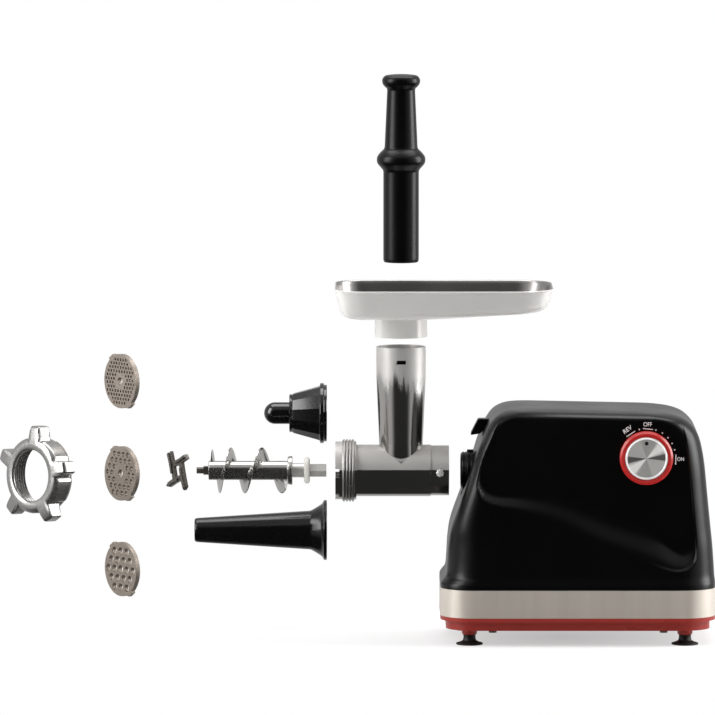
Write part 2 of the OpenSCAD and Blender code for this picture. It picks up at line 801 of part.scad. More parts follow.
module lever_spring() {
    color("silver") for (side = [-1, 1], i = [0:1])
        translate([lever_at[0], side * (lever_w / 2 + 0.6 + 1.05 * i), lever_at[1]])
            rotate([90, 0, 0]) rotate_extrude() translate([2.2, 0]) circle(r = 0.5, $fn = 16);
}

// ---------- dial ----------

dial_y = panel_y - 1;

module dial_ring() {
    color("#B3231E") translate([dial_x, dial_y, dial_z]) rotate([90, 0, 0]) difference() {
        rotate_extrude() polygon([
            [dial_face_r - 4, 0], [dial_r, 0], [dial_r, dial_h - 3], [dial_r - 2, dial_h - 1],
            [dial_face_r + 0.1, dial_h - 0.6], [dial_face_r + 0.1, 4], [dial_face_r - 4, 4]
        ]);
    }
}

module dial_face() {
    color("#B9B7B2") translate([dial_x, dial_y, dial_z]) rotate([90, 0, 0]) difference() {
        translate([0, 0, 4]) rotate_extrude() polygon([
            [0, 0], [dial_face_r, 0], [dial_face_r, dial_h - 5], [dial_face_r - 1, dial_h - 4],
            [0, dial_h - 4]
        ]);
        translate([0, 0, 3]) cylinder(r = dial_shaft_r, h = 4);
        translate([0, dial_face_r * 0.75, dial_h - 0.6]) cylinder(r = 1.1, h = 2);
    }
}

module dial_shaft() {
    color("#D8D6D0") translate([dial_x, dial_y - 7, dial_z]) rotate([-90, 0, 0])
        cylinder(r = dial_shaft_r, h = 27);
}

// ---------- drive train ----------

module drive_coupling() {
    color("#2E2F31") difference() {
        union() {
            along_x(coupling_x) cylinder(r = coupling_r, h = case_x - coupling_x - 0.5);
            along_x(case_x - 1) cylinder(r = output_shaft_r, h = cover_x + case_wall - case_x + 1);
        }
        along_x(coupling_x - 1) linear_extrude(hex_l + 1.2)
            circle(r = hex_af / 2 / cos(30), $fn = 6);
    }
}

module output_gear() {
    color("#D9D4C4") along_x(output_x) difference() {
        linear_extrude(output_face_w)
            gear_outline(slow_module, output_teeth, line_angle([0, 0], idler_at));
        translate([0, 0, -1]) cylinder(r = output_shaft_r, h = 40);
        for (a = [0:60:300]) rotate(a) translate([23, 0, -1]) cylinder(r = 6, h = 40);
    }
}

module idler_gear() {
    color("#E0DACA") along_x(idler_x, idler_at) difference() {
        linear_extrude(idler_face_w)
            gear_outline(fast_module, idler_teeth, line_angle(idler_at, rotor_at));
        translate([0, 0, -1]) cylinder(r = idler_shaft_r, h = 40);
    }
}

module idler_pinion() {
    color("#8C8E90") {
        along_x(output_x - 1, idler_at) linear_extrude(output_face_w + 2)
            gear_outline(slow_module, pinion_teeth, line_angle(idler_at, [0, 0]) + 180 / pinion_teeth);
        along_x(case_x, idler_at) cylinder(r = idler_shaft_r, h = cover_x + case_wall - case_x);
    }
}

module rotor_shaft() {
    color("#8C8E90") {
        along_x(idler_x - 1, rotor_at) linear_extrude(idler_face_w + 2)
            gear_outline(fast_module, pinion_teeth,
                line_angle(rotor_at, idler_at) + 180 / pinion_teeth);
        along_x(idler_x, rotor_at) cylinder(r = rotor_shaft_r - 0.4, h = cover_x - idler_x);
        along_x(cover_x - 1, rotor_at)
            cylinder(r = rotor_shaft_r, h = rear_bracket_x + case_wall - cover_x + 1);
    }
}

module rotor_core() {
    color("#56585B") along_x(stator_x, rotor_at) difference() {
        cylinder(r = rotor_r, h = stator_l);
        translate([0, 0, -1]) cylinder(r = rotor_shaft_r, h = stator_l + 2);
        for (a = [0:30:330]) rotate(a) translate([rotor_r - 5, -1.5, -1]) cube([8, 3, stator_l + 2]);
    }
}

module commutator() {
    color("#B07A45") along_x(brush_x - 8, rotor_at) difference() {
        cylinder(r = commutator_r, h = 16);
        translate([0, 0, -1]) cylinder(r = rotor_shaft_r, h = 18);
        for (a = [0:15:345]) rotate(a) translate([commutator_r - 1, -0.25, -1]) cube([2, 0.5, 18]);
    }
}

module cooling_fan() {
    color("#3A3D40") along_x(cover_x + case_wall + 4, rotor_at) {
        difference() {
            union() {
                cylinder(r = 8, h = 14);
                cylinder(r = fan_r, h = 2);
            }
            translate([0, 0, -1]) cylinder(r = rotor_shaft_r, h = 20);
        }
        for (a = [0:45:315]) rotate(a) translate([7.5, -0.8, 1.9]) cube([fan_r - 8, 1.6, 10]);
    }
}

// ---------- tube head ----------

module to_head() {
    translate([head_x, 0, 0]) children();
}

neck_bore_r = neck_r - neck_wall;
neck_foot_bore_r = neck_foot_r - neck_wall;

collar_screw_l = 4.5;
collar_screw_r = 2;

module tube_head() {
    color("#B4B1AC") to_head() difference() {
        union() {
            along_x(-head_l) cylinder(r = mouth_r, h = mouth_l + thread_l + 2);
            for (i = [0:3]) along_x(-head_l + mouth_l + 1 + i * thread_pitch) rotate_extrude()
                polygon([[mouth_r - 1, -1.2], [thread_r, -0.3], [thread_r, 0.3], [mouth_r - 1, 1.2]]);
            along_x(-head_l + mouth_l)
                cylinder(r = barrel_bore_r + barrel_wall, h = head_l - mouth_l - collar_l);
            along_x(-collar_l - SKIN) cylinder(r = collar_r, h = collar_l + SKIN);
            translate([neck_x, 0, 0]) cylinder(r1 = neck_foot_r, r2 = neck_foot_r, h = 30);
            translate([neck_x, 0, 28]) cylinder(r1 = neck_foot_r, r2 = neck_r, h = neck_taper_top - 28);
            translate([neck_x, 0, neck_taper_top]) cylinder(r = neck_r, h = neck_top - neck_taper_top);
        }
        along_x(-head_l - 1) cylinder(r = plate_seat_r, h = plate_chamber_l + 1);
        along_x(-head_l) cylinder(r = barrel_bore_r, h = head_l + head_wall_x - head_wall_t);
        along_x(head_wall_x - head_wall_t - 1) cylinder(r = bush_r, h = 20);
        along_x(head_wall_x) cylinder(r = boss_r + 0.3, h = 20);
        translate([neck_x, 0, 10]) cylinder(r = neck_foot_bore_r, h = 18 + SKIN);
        translate([neck_x, 0, 28])
            cylinder(r1 = neck_foot_bore_r, r2 = neck_bore_r, h = neck_taper_top - 28 + SKIN);
        translate([neck_x, 0, neck_taper_top]) cylinder(r = neck_bore_r, h = 60);
        along_x(-head_l - 1) for (turn = [0, plate_tab_turn], side = [0, 180]) rotate(turn + side)
            translate([plate_seat_r - 6, -plate_tab_w / 2 - 0.3, 0])
                cube([12, plate_tab_w + 0.6, 1 + tab_notch_l]);
        translate([neck_x - 4.8, -neck_r - 1, neck_top - 16]) cube([9.6, 1.6, 4]);
        for (side = [-1, 1]) translate([-9, 0, 0]) rotate([90 * side, 0, 0])
            translate([0, 0, collar_r - collar_screw_l - 0.1])
                cylinder(r = collar_screw_r + 0.05, h = 10);
    }
}

module head_bush() {
    color("#E8E4DA") to_head() along_x(head_wall_x - head_wall_t) difference() {
        cylinder(r = bush_r, h = head_wall_t);
        translate([0, 0, -1]) cylinder(r = auger_shaft_r + 0.06, h = 20);
    }
}

module collar_screws() {
    color("#C9C7C2") to_head() for (side = [-1, 1]) translate([-9, 0, 0]) rotate([90 * side, 0, 0])
        translate([0, 0, collar_r]) screw(collar_screw_l, 4, collar_screw_r);
}

// ---------- tray and pusher ----------

tray_corner = 34;
tray_draft = 12;

// Tray form: a slanted rounded box, tight at the mouth side and wide at the far side
module tray_form(inset, floor_lift, top) {
    hull() {
        for (sy = [-1, 1]) {
            translate([-tray_lead + 24, sy * (tray_w / 2 - 34), tray_h - 2])
                cylinder(r = 24 - inset, h = 2 + top, $fn = HULL_FN);
            translate([tray_l - tray_lead - 30, sy * (tray_w / 2 - 30), tray_h - 2])
                cylinder(r = 30 - inset, h = 2 + top, $fn = HULL_FN);
            translate([-tray_lead + 24 + tray_draft, sy * (tray_w / 2 - 40), floor_lift])
                cylinder(r = 20 - inset, h = 1, $fn = HULL_FN);
            translate([tray_l - tray_lead - 30 - tray_draft, sy * (tray_w / 2 - 38),
                    tray_rise + floor_lift])
                cylinder(r = 24 - inset, h = 1, $fn = HULL_FN);
        }
    }
}

module to_neck_top(z) {
    translate([head_x + neck_x, 0, z]) children();
}

module hopper_tray() {
    color("#C9C5C1") to_neck_top(tray_floor) difference() {
        union() {
            tray_form(0, 0, 0);
            translate([0, 0, -spigot_l]) cylinder(r = spigot_bore_r + tray_t, h = spigot_l + 4);
        }
        tray_form(tray_t, tray_t, 2);
        translate([0, 0, -spigot_l - 1]) cylinder(r = spigot_bore_r, h = spigot_l + 1);
        translate([0, 0, -1]) cylinder(r = neck_bore_r, h = 20);
    }
}

module pusher() {
    color("#0D0D0E") to_neck_top(pusher_stop) difference() {
        rotate_extrude() polygon([
            [0, -pusher_shank_l], [pusher_r - 1.5, -pusher_shank_l], [pusher_r, -pusher_shank_l + 1.5],
            [pusher_r, 0], [pusher_collar_r - 3, 0.6], [pusher_collar_r, 5], [pusher_collar_r, 12],
            [pusher_collar_r - 3, 17], [16.6, 20], [13.85, 20 + pusher_handle_l - 15],
            [pusher_knob_r - 3, 20 + pusher_handle_l - 13.5], [pusher_knob_r, 20 + pusher_handle_l - 9],
            [pusher_knob_r, 20 + pusher_handle_l - 4], [pusher_knob_r - 4, 20 + pusher_handle_l],
            [0, 20 + pusher_handle_l + 0.8]
        ]);
        translate([0, 0, -pusher_shank_l - 1]) cylinder(r = pusher_r - tool_wall, h = pusher_shank_l - 4);
    }
}

module pusher_plug() {
    color("#131314") to_neck_top(pusher_stop - pusher_shank_l)
        cylinder(r = pusher_r - tool_wall, h = 5);
}

// ---------- auger, knife, plates and ring ----------

module to_auger() {
    to_head() translate([-auger_out, 0, 0]) children();
}

module thrust_washer() {
    color("#E3DFD2") to_auger()
        tube_x(washer_seat_x - washer_t / 2 + washer_slip, washer_r, auger_shaft_r + 0.06, washer_t);
}

function flight_x(n) = auger_first_pitch * n + auger_pitch_growth / 2 * (n * n - n);
flight_steps = 96;

module flight() {
    inner = auger_root_r - 1.5;
    half_root = 2.6;
    half_crest = 0.9;
    rings = [for (i = [0:flight_steps])
        let (n = auger_turns * i / flight_steps, a = 90 - 360 * n, x = 3 + flight_x(n),
             outer = auger_r - 6 * pow(max(0, 1 - n * 8), 2))
        for (p = [[inner, -half_root], [outer, -half_crest], [outer, half_crest], [inner, half_root]])
            [x + p[1], p[0] * cos(a), p[0] * sin(a)]];
    sides = [for (i = [0:flight_steps - 1], k = [0:3], half = [0, 1])
        let (j = (k + 1) % 4, b = 4 * i)
        half == 0 ? [b + k, b + 4 + k, b + 4 + j] : [b + k, b + 4 + j, b + j]];
    last = 4 * flight_steps;
    polyhedron(rings, concat([[0, 1, 2, 3]], sides, [[last + 3, last + 2, last + 1, last]]));
}

module auger_screw() {
    color("#A8A5A0") to_auger() translate([shoulder_x, 0, 0]) difference() {
        union() {
            flight();
            along_x(0) cylinder(r = auger_root_r, h = auger_flight_l);
            along_x(auger_flight_l - SKIN) cylinder(r = 14.5, h = flange_collar_t + SKIN);
        }
        along_x(-1) cylinder(r = 5, h = 21);
        along_x(auger_flight_l - 20) cylinder(r = auger_shaft_r, h = 40);
    }
}

module auger_shank() {
    color("#B9BAB8") to_auger() {
        along_x(auger_back_x - 20) cylinder(r = auger_shaft_r, h = 20 + flange_collar_t + auger_shaft_l);
        along_x(shank_end_x - hex_l) linear_extrude(hex_l) circle(r = hex_end_af / 2 / cos(30), $fn = 6);
    }
}

module auger_pin() {
    color("#4A4642") to_auger() {
        along_x(shoulder_x) cylinder(r = 5, h = 20);
        translate([shoulder_x - square_l, -square_side / 2, -square_side / 2])
            cube([square_l + SKIN, square_side, square_side]);
        along_x(auger_tip_x) cylinder(r = tip_r, h = tip_l + SKIN);
    }
}

// Puts a piece that is drawn round the origin on an arc that ends at its seat
module on_arc(seat_x, arc, turn) {
    translate([seat_x, 0, 0]) rotate([-arc_tilt, 0, 0]) translate([0, -arc, 0])
        rotate([0, 0, turn]) translate([0, arc, 0]) rotate([arc_tilt, 0, 0]) children();
}

module cross_knife() {
    hole = square_side + 2 * knife_play;
    color("#4E4844") to_auger() on_arc(knife_seat_x, knife_arc, knife_turn) difference() {
        union() {
            along_x(-knife_hub_t / 2) cylinder(r = 8.5, h = knife_hub_t);
            for (a = [0:90:270]) along_x(-knife_hub_t / 2) rotate(a + 20) {
                linear_extrude(3) polygon([
                    [6.5, -4.5], [knife_r - 1, -3], [knife_r, 0], [knife_r - 1, 4], [6.5, 4.5]
                ]);
                translate([0, 0, -knife_edge]) linear_extrude(3 + knife_edge) polygon([
                    [6.5, 0.5], [knife_r - 1, 1.5], [knife_r - 1, 4], [6.5, 4.5]
                ]);
            }
        }
        translate([-knife_hub_t, -hole / 2, -hole / 2]) cube([2 * knife_hub_t, hole, hole]);
    }
}

module plate_blank() {
    along_x(-plate_t / 2) difference() {
        rotate(plate_tab_turn) {
            cylinder(r = plate_r, h = plate_t);
            for (side = [-1, 1]) translate([side * (plate_r + plate_tab / 2 - 2), 0, plate_t / 2])
                cube([plate_tab + 4, plate_tab_w, plate_t], center = true);
        }
        translate([0, 0, -1]) cylinder(r = plate_hole_r, h = plate_t + 2);
    }
}

function hex_places(rings, step) = [for (i = [-rings:rings], j = [-rings:rings])
    if (abs(i + j) <= rings && (i != 0 || j != 0)) [step * (i + j / 2), step * j * sqrt(3) / 2]];
function row_places(step, reach, clear) = [for (j = [-6:5], i = [-6:6])
    let (p = [step * (i + (j % 2 == 0 ? 0.25 : -0.25)), step * (j + 0.5) * sqrt(3) / 2])
    if (norm(p) < reach && norm(p) > clear) p];

module drill(places, d) {
    along_x(-plate_t / 2 - 1) for (p = places) translate(p) cylinder(d = d, h = plate_t + 2, $fn = 24);
}

medium_places = [for (p = hex_places(3, 7.4)) if (norm(p) > 8) p];
coarse_places = hex_places(2, 10.4);
fine_places = row_places(4.5, 24, 8.2);

module medium_plate() {
    color("#7C736C") to_head() on_arc(plate_seat_x, plate_arc, plate_turn) difference() {
        plate_blank();
        drill(medium_places, medium_hole_d);
    }
}

module loose_plate(z) {
    translate([loose_x, loose_y, z]) rotate([0, 0, plate_turn]) children();
}

module fine_plate() {
    color("#7C736C") loose_plate(fine_plate_z) difference() {
        plate_blank();
        drill(fine_places, fine_hole_d);
    }
}

module coarse_plate() {
    color("#7C736C") loose_plate(coarse_plate_z) difference() {
        plate_blank();
        drill(coarse_places, coarse_hole_d);
    }
}

module ring_nut() {
    color("#B9B6B1") to_head() on_arc(ring_front, ring_arc, ring_turn) difference() {
        union() {
            along_x(0) rotate_extrude() polygon([
                [20, 0], [ring_r - 4, 0], [ring_r - 1, 2.5], [ring_r, 6], [ring_r, ring_l - 2],
                [ring_r - 1, ring_l], [20, ring_l]
            ]);
            for (i = [0:lug_count - 1]) along_x(2) rotate(lug_start + 360 * i / lug_count) {
                linear_extrude(ring_l - 8) polygon([
                    [ring_r - 4, -9], [ring_r + 2, -6.5], [lug_r - 2, -5], [lug_r, -3],
                    [lug_r, 3], [lug_r - 2, 5], [ring_r + 2, 6.5], [ring_r - 4, 9]
                ]);
            }
        }
        along_x(-1) cylinder(r = ring_mouth_r, h = 40);
        along_x(ring_lip) cylinder(r = ring_bore_r, h = 40);
        for (i = [0:5]) along_x(ring_lip + 3 + i * thread_pitch) rotate_extrude()
            polygon([[ring_bore_r - 1, -1.3], [ring_bore_r + 1.4, -0.3], [ring_bore_r + 1.4, 0.3],
                [ring_bore_r - 1, 1.3]]);
    }
}

// ---------- sausage tube and kebbe set, beside the machine ----------

side_tools_x = head_x - side_tools_out;

module sausage_tube() {
    color("#0C0C0D") translate([side_tools_x, side_tools_y, sausage_z]) mirror([1, 0, 0]) along_x(0)
        rotate_extrude() polygon([
            [flange_r, 0], [flange_r, 3.5], [flange_r - 1.5, 4.5], [sausage_root_r + 5.5, 5],
            [sausage_root_r, 16], [sausage_tip_r, sausage_l], [sausage_tip_r - tool_wall + 0.6, sausage_l],
            [sausage_root_r - tool_wall, 16], [sausage_root_r + 2.5, 4], [sausage_root_r + 2.5, 0]
        ]);
}

kebbe_facets = 12;

module kebbe_shaper() {
    color("#101011") translate([side_tools_x, side_tools_y, kebbe_z]) mirror([1, 0, 0]) difference() {
        union() {
            along_x(0) cylinder(r = flange_r, h = 5);
            along_x(5 - SKIN) cylinder(r = flange_r - 4, h = 6);
            along_x(10) cylinder(r1 = flange_r - 6, r2 = 19, h = 28, $fn = kebbe_facets);
        }
        along_x(-1) cylinder(r = flange_r - 8.5, h = 13);
        along_x(11.9) cylinder(r1 = flange_r - 9, r2 = 16, h = 27);
    }
}

module kebbe_mandrel() {
    color("#0C0C0D") translate([side_tools_x, side_tools_y, kebbe_z]) mirror([1, 0, 0]) {
        along_x(0) rotate_extrude() polygon(concat(
            [[0, 1], [kebbe_nose_r - 3, 1], [kebbe_nose_r, 6], [kebbe_nose_r, kebbe_l - kebbe_nose_r]],
            [for (a = [15:15:90]) [kebbe_nose_r * cos(a), kebbe_l - kebbe_nose_r + kebbe_nose_r * sin(a)]]
        ));
        for (a = [45:90:315]) along_x(1.5) rotate(a) translate([kebbe_nose_r - 4, -1.5, 0])
            cube([flange_r - 9 - kebbe_nose_r + 4, 3, 4]);
    }
}

upper_housing();
side_panel();
steel_band();
base_tray();
suction_feet();
base_screws();
head_boss();
gearbox_case();
gearbox_cover();
gearbox_screws();
output_bushes();
idler_bushes();
rotor_bushes();
stator_core();
field_windings();
rear_bracket();
brush_holders();
carbon_brushes();
rotary_switch();
switch_nut();
control_board();
cord_inlet();
lever_pin();
lever_spring();
lock_lever();
dial_ring();
dial_face();
dial_shaft();
drive_coupling();
output_gear();
idler_gear();
idler_pinion();
rotor_shaft();
rotor_core();
commutator();
cooling_fan();
tube_head();
head_bush();
collar_screws();
hopper_tray();
pusher();
pusher_plug();
thrust_washer();
auger_screw();
auger_shank();
auger_pin();
cross_knife();
medium_plate();
ring_nut();
fine_plate();
coarse_plate();
kebbe_mandrel();
kebbe_shaper();
sausage_tube();
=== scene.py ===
"""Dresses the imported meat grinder: an exploded layout of motor unit, head, tools and tray."""
import json
import math
import bmesh
import bpy
import numpy as np
from mathutils import Matrix, Vector


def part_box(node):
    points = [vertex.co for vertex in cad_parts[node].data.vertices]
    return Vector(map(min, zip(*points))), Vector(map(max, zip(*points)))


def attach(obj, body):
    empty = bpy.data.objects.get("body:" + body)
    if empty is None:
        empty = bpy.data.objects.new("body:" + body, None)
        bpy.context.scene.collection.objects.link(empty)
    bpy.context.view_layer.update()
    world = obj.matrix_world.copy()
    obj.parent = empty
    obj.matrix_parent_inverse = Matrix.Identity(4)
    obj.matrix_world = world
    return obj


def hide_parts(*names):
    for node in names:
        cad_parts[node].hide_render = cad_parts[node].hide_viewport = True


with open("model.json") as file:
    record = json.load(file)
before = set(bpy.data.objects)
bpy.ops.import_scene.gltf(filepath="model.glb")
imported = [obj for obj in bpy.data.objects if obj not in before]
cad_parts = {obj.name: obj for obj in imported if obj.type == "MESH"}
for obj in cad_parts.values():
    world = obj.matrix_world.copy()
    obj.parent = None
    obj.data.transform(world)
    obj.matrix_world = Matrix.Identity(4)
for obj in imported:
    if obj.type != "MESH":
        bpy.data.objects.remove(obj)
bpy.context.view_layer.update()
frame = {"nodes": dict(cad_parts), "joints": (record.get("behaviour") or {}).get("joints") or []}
node = frame["nodes"]

# ---------------- camera, light and floor
# A plain pale studio: the motor unit stands on the floor and the rest hangs in line in
# front of it. Big soft lamps stand left, right and above, and the viewer's side is dim.
PICTURE_PX = 715
MM_PER_PX = 1.0
AXIS_PX = (460.5, 470.5)
ELEVATION = math.radians(5.2)
CAMERA_DISTANCE = 8.0
SENSOR = 36.0
FLOOR_Z = float(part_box("suction_feet")[0][2])
SURROUND, DIM_SIDE = 0.62, 0.035
SIDE_FADE, LOW_FADE, BEHIND_LIFT = (-0.86, -0.6), (-0.45, -0.1), 0.8
FLOOR_SIZE, FLOOR_MIDDLE, PAPER = 12, (0.1, 1.5), 0.9
FLOOR_FADE, FLOOR_FADE_FROM, FLOOR_FADE_START = 1.1, (0.0, -1.5, 0), 0.45
# name, place, target, width, height and watts
LAMPS = (("left box", (-1.5, -0.5, 0.7), (0.0, 0, 0.05), 0.8, 1.4, 26),
         ("right box", (1.6, 0.1, 0.6), (0.1, 0, 0.05), 0.8, 1.4, 32),
         ("top box", (0.0, 0.3, 1.7), (0.0, 0, 0.05), 2.0, 1.0, 30))


def new_object(name, data):
    """An object in the scene that shows some data."""
    thing = bpy.data.objects.new(name, data)
    bpy.context.scene.collection.objects.link(thing)
    return thing


def aim_camera():
    """A long lens that looks at the middle of the picture, at the drive axis's depth."""
    middle = PICTURE_PX / 2
    right = (middle - AXIS_PX[0]) * MM_PER_PX / 1000
    up = (AXIS_PX[1] - middle) * MM_PER_PX / 1000 / math.cos(ELEVATION)
    data = bpy.data.cameras.new("camera")
    data.sensor_width = SENSOR
    data.lens = SENSOR * CAMERA_DISTANCE / (PICTURE_PX * MM_PER_PX / 1000)
    data.clip_end = 50
    camera = new_object("camera", data)
    camera.location = (right, -CAMERA_DISTANCE * math.cos(ELEVATION),
                       up + CAMERA_DISTANCE * math.sin(ELEVATION))
    camera.rotation_euler = (math.pi / 2 - ELEVATION, 0, 0)
    bpy.context.scene.camera = camera


def soft_lamp(name, place, target, width, height, watts):
    """A soft box at one place that faces another."""
    data = bpy.data.lights.new(name, "AREA")
    data.shape = "RECTANGLE"
    data.size, data.size_y, data.energy = width, height, watts
    lamp = new_object(name, data)
    lamp.location = place
    lamp.rotation_euler = (Vector(target) - Vector(place)).to_track_quat("-Z", "Y").to_euler()
    lamp.visible_camera = False


def join_nodes(tree, *links):
    """Links pairs of sockets, each given as (from node, output, to node, input)."""
    for source, output, target, socket in links:
        tree.links.new(source.outputs[output], target.inputs[socket])


def add(tree, kind, **inputs):
    """A shader node with some of its inputs set; a name's underscores stand for spaces."""
    unit = tree.nodes.new("ShaderNode" + kind)
    for label, value in inputs.items():
        unit.inputs[label.replace("_", " ")].default_value = value
    return unit


def math_node(tree, operation, *values, clamp=False):
    """One Math node; its values are numbers or sockets."""
    unit = add(tree, "Math")
    unit.operation, unit.use_clamp = operation, clamp
    for i, value in enumerate(values):
        if isinstance(value, (int, float)):
            unit.inputs[i].default_value = value
        else:
            tree.links.new(value, unit.inputs[i])
    return unit.outputs[0]


def axes(tree, kind="Object"):
    """The X, Y and Z of one kind of coordinates."""
    part = add(tree, "SeparateXYZ")
    join_nodes(tree, (add(tree, "TexCoord"), kind, part, "Vector"))
    return part.outputs


def ramp(tree, value, low, high):
    """0 below low, 1 above high, and a smooth step between."""
    step = add(tree, "MapRange", From_Min=low, From_Max=high)
    step.interpolation_type = "SMOOTHSTEP"
    tree.links.new(value, step.inputs["Value"])
    return step.outputs["Result"]


def light_studio():
    """White to the lens, and to polished metal a surround that is bright above and at the
    sides and dark on the viewer's side and below."""
    world = bpy.data.worlds.new("studio")
    bpy.context.scene.world = world
    world.use_nodes = True
    tree = world.node_tree
    tree.nodes.clear()
    back, path = add(tree, "Background", Color=(1, 1, 1, 1)), add(tree, "LightPath")
    join_nodes(tree, (back, "Background", add(tree, "OutputWorld"), "Surface"))
    way = axes(tree, "Generated")
    aside = ramp(tree, way["Y"], *SIDE_FADE)
    behind = math_node(tree, "MAXIMUM", way["Y"], 0.0)
    raised = math_node(tree, "MULTIPLY_ADD", behind, BEHIND_LIFT, way["Z"])
    raised = ramp(tree, raised, *LOW_FADE)
    level = math_node(tree, "MULTIPLY", aside, raised)
    level = math_node(tree, "MULTIPLY_ADD", level, SURROUND - DIM_SIDE, DIM_SIDE)
    seen = math_node(tree, "MAXIMUM", level, path.outputs["Is Camera Ray"])
    tree.links.new(seen, back.inputs["Strength"])


def lay_floor():
    """A pale sheet that fades to white away from the machine and keeps its shadow."""
    bpy.ops.mesh.primitive_plane_add(size=FLOOR_SIZE, location=(*FLOOR_MIDDLE, FLOOR_Z))
    floor = bpy.context.object
    floor.name = "floor"
    sheet = bpy.data.materials.new("pale sheet")
    sheet.use_nodes = True
    tree = sheet.node_tree
    tree.nodes.clear()
    paper = add(tree, "BsdfDiffuse", Color=(PAPER, PAPER, PAPER, 1))
    mix, path, far = (add(tree, kind) for kind in ("MixShader", "LightPath", "VectorMath"))
    far.operation = "DISTANCE"
    far.inputs[1].default_value = FLOOR_FADE_FROM
    join_nodes(tree, (add(tree, "TexCoord"), "Object", far, 0))
    fade = math_node(tree, "MULTIPLY_ADD", far.outputs["Value"], FLOOR_FADE, FLOOR_FADE_START,
                     clamp=True)
    white = math_node(tree, "MULTIPLY", fade, path.outputs["Is Camera Ray"])
    tree.links.new(white, mix.inputs["Fac"])
    join_nodes(tree, (paper, "BSDF", mix, 1), (add(tree, "Emission"), "Emission", mix, 2),
               (mix, "Shader", add(tree, "OutputMaterial"), "Surface"))
    floor.data.materials.append(sheet)
    floor.visible_glossy = False


aim_camera()
light_studio()
lay_floor()
for lamp in LAMPS:
    soft_lamp(*lamp)
bpy.context.scene.view_settings.view_transform = "Standard"


# ---------------- finishes
# Every material is procedural: a skin of fine grain and broad patches moves its height, colour
# and roughness.
GRAIN_SIZE = 1500.0


def noise(tree, vector, scale, detail):
    """A noise texture over a vector; its scale is a number or a socket."""
    grain = add(tree, "TexNoise", Detail=detail, Roughness=0.55)
    tree.links.new(vector, grain.inputs["Vector"])
    if isinstance(scale, (int, float)):
        grain.inputs["Scale"].default_value = scale
    else:
        tree.links.new(scale, grain.inputs["Scale"])
    return grain


def grain_group():
    """Skin of a moulding or casting: fine grain for height, broad patches for tone."""
    group = bpy.data.node_groups.new("skin grain", "ShaderNodeTree")
    for label, way, kind in (("Place", "INPUT", "Vector"), ("Patch Size", "INPUT", "Float"),
                             ("Height", "OUTPUT", "Float"), ("Tone", "OUTPUT", "Float")):
        group.interface.new_socket(label, in_out=way, socket_type="NodeSocket" + kind)
    taken, given = group.nodes.new("NodeGroupInput"), group.nodes.new("NodeGroupOutput")
    fine = noise(group, taken.outputs["Place"], GRAIN_SIZE, 2.0)
    broad = noise(group, taken.outputs["Place"], taken.outputs["Patch Size"], 4.0)
    join_nodes(group, (fine, "Fac", given, "Height"), (broad, "Fac", given, "Tone"))
    return group


SKIN_GRAIN = grain_group()


def new_material(name):
    """A Principled material with its node tree and shader."""
    material = bpy.data.materials.new(name)
    material.use_nodes = True
    return material, material.node_tree, material.node_tree.nodes["Principled BSDF"]


def finish(name, colour, roughness, metallic=0.0, stretch=(1, 1, 1), patch=18.0, depth=0.00002,
           vary=0.15, rough_vary=0.08, specular=0.5):
    """A Principled material whose colour, roughness and height follow the skin grain."""
    material, tree, shader = new_material(name)
    shader.inputs["Metallic"].default_value = metallic
    shader.inputs["Specular IOR Level"].default_value = specular
    where = add(tree, "TexCoord")
    turn = add(tree, "Mapping", Scale=stretch)
    skin = add(tree, "Group")
    skin.node_tree = SKIN_GRAIN
    skin.inputs["Patch Size"].default_value = patch
    shade = add(tree, "Mix")
    shade.data_type = "RGBA"
    shade.inputs["A"].default_value = tuple(c * (1 - vary) for c in colour) + (1,)
    shade.inputs["B"].default_value = tuple(min(1, c * (1 + vary)) for c in colour) + (1,)
    rough = add(tree, "MapRange", To_Min=max(0.02, roughness - rough_vary),
                To_Max=roughness + rough_vary)
    bump = add(tree, "Bump", Distance=depth, Strength=1.0)
    join_nodes(tree, (where, "Object", turn, "Vector"), (turn, "Vector", skin, "Place"),
               (skin, "Tone", shade, "Factor"), (shade, "Result", shader, "Base Color"),
               (skin, "Tone", rough, "Value"), (rough, "Result", shader, "Roughness"),
               (skin, "Height", bump, "Height"), (bump, "Normal", shader, "Normal"))
    return material


def dress(material, *names):
    """Gives CAD nodes one material."""
    for name in names:
        slots = node[name].material_slots
        if not slots:
            node[name].data.materials.append(material)
        for entry in slots:
            entry.material = material


# name, colour, roughness, metallic and the solids inside the motor unit that wear it
INNER_FINISHES = (
    ("gearbox casting", (0.45, 0.45, 0.45), 0.45, 0.9, "gearbox_case gearbox_cover rear_bracket"),
    ("sintered bronze", (0.5, 0.33, 0.14), 0.4, 1.0, "output_bushes idler_bushes rotor_bushes"),
    ("enamelled copper", (0.6, 0.27, 0.1), 0.3, 0.9, "field_windings commutator"),
    ("inner plastic", (0.1, 0.09, 0.08), 0.5, 0.0,
     "brush_holders rotary_switch cooling_fan drive_coupling"),
    ("carbon", (0.05, 0.05, 0.05), 0.6, 0.0, "carbon_brushes"),
    ("circuit board", (0.05, 0.16, 0.07), 0.4, 0.0, "control_board"),
    ("gear nylon", (0.76, 0.73, 0.62), 0.45, 0.0, "output_gear idler_gear dial_shaft"))
lamination = finish("motor lamination", (0.25, 0.26, 0.28), 0.45, 0.8, stretch=(30, 1, 1))
black_satin = finish("black satin moulding", (0.0012, 0.0012, 0.0013), 0.3, specular=0.24)
tool_black = finish("black tool plastic", (0.0022, 0.0022, 0.0024), 0.2, specular=0.4)
rubber = finish("black rubber", (0.004, 0.004, 0.004), 0.55)
red_base = finish("red base moulding", (0.27, 0.019, 0.012), 0.3)
red_ring = finish("red dial ring", (0.36, 0.012, 0.01), 0.27)
brushed = finish("brushed band steel", (0.72, 0.655, 0.58), 0.36, 0.62, stretch=(1, 1, 0.02),
                 patch=90.0, vary=0.12, rough_vary=0.12)
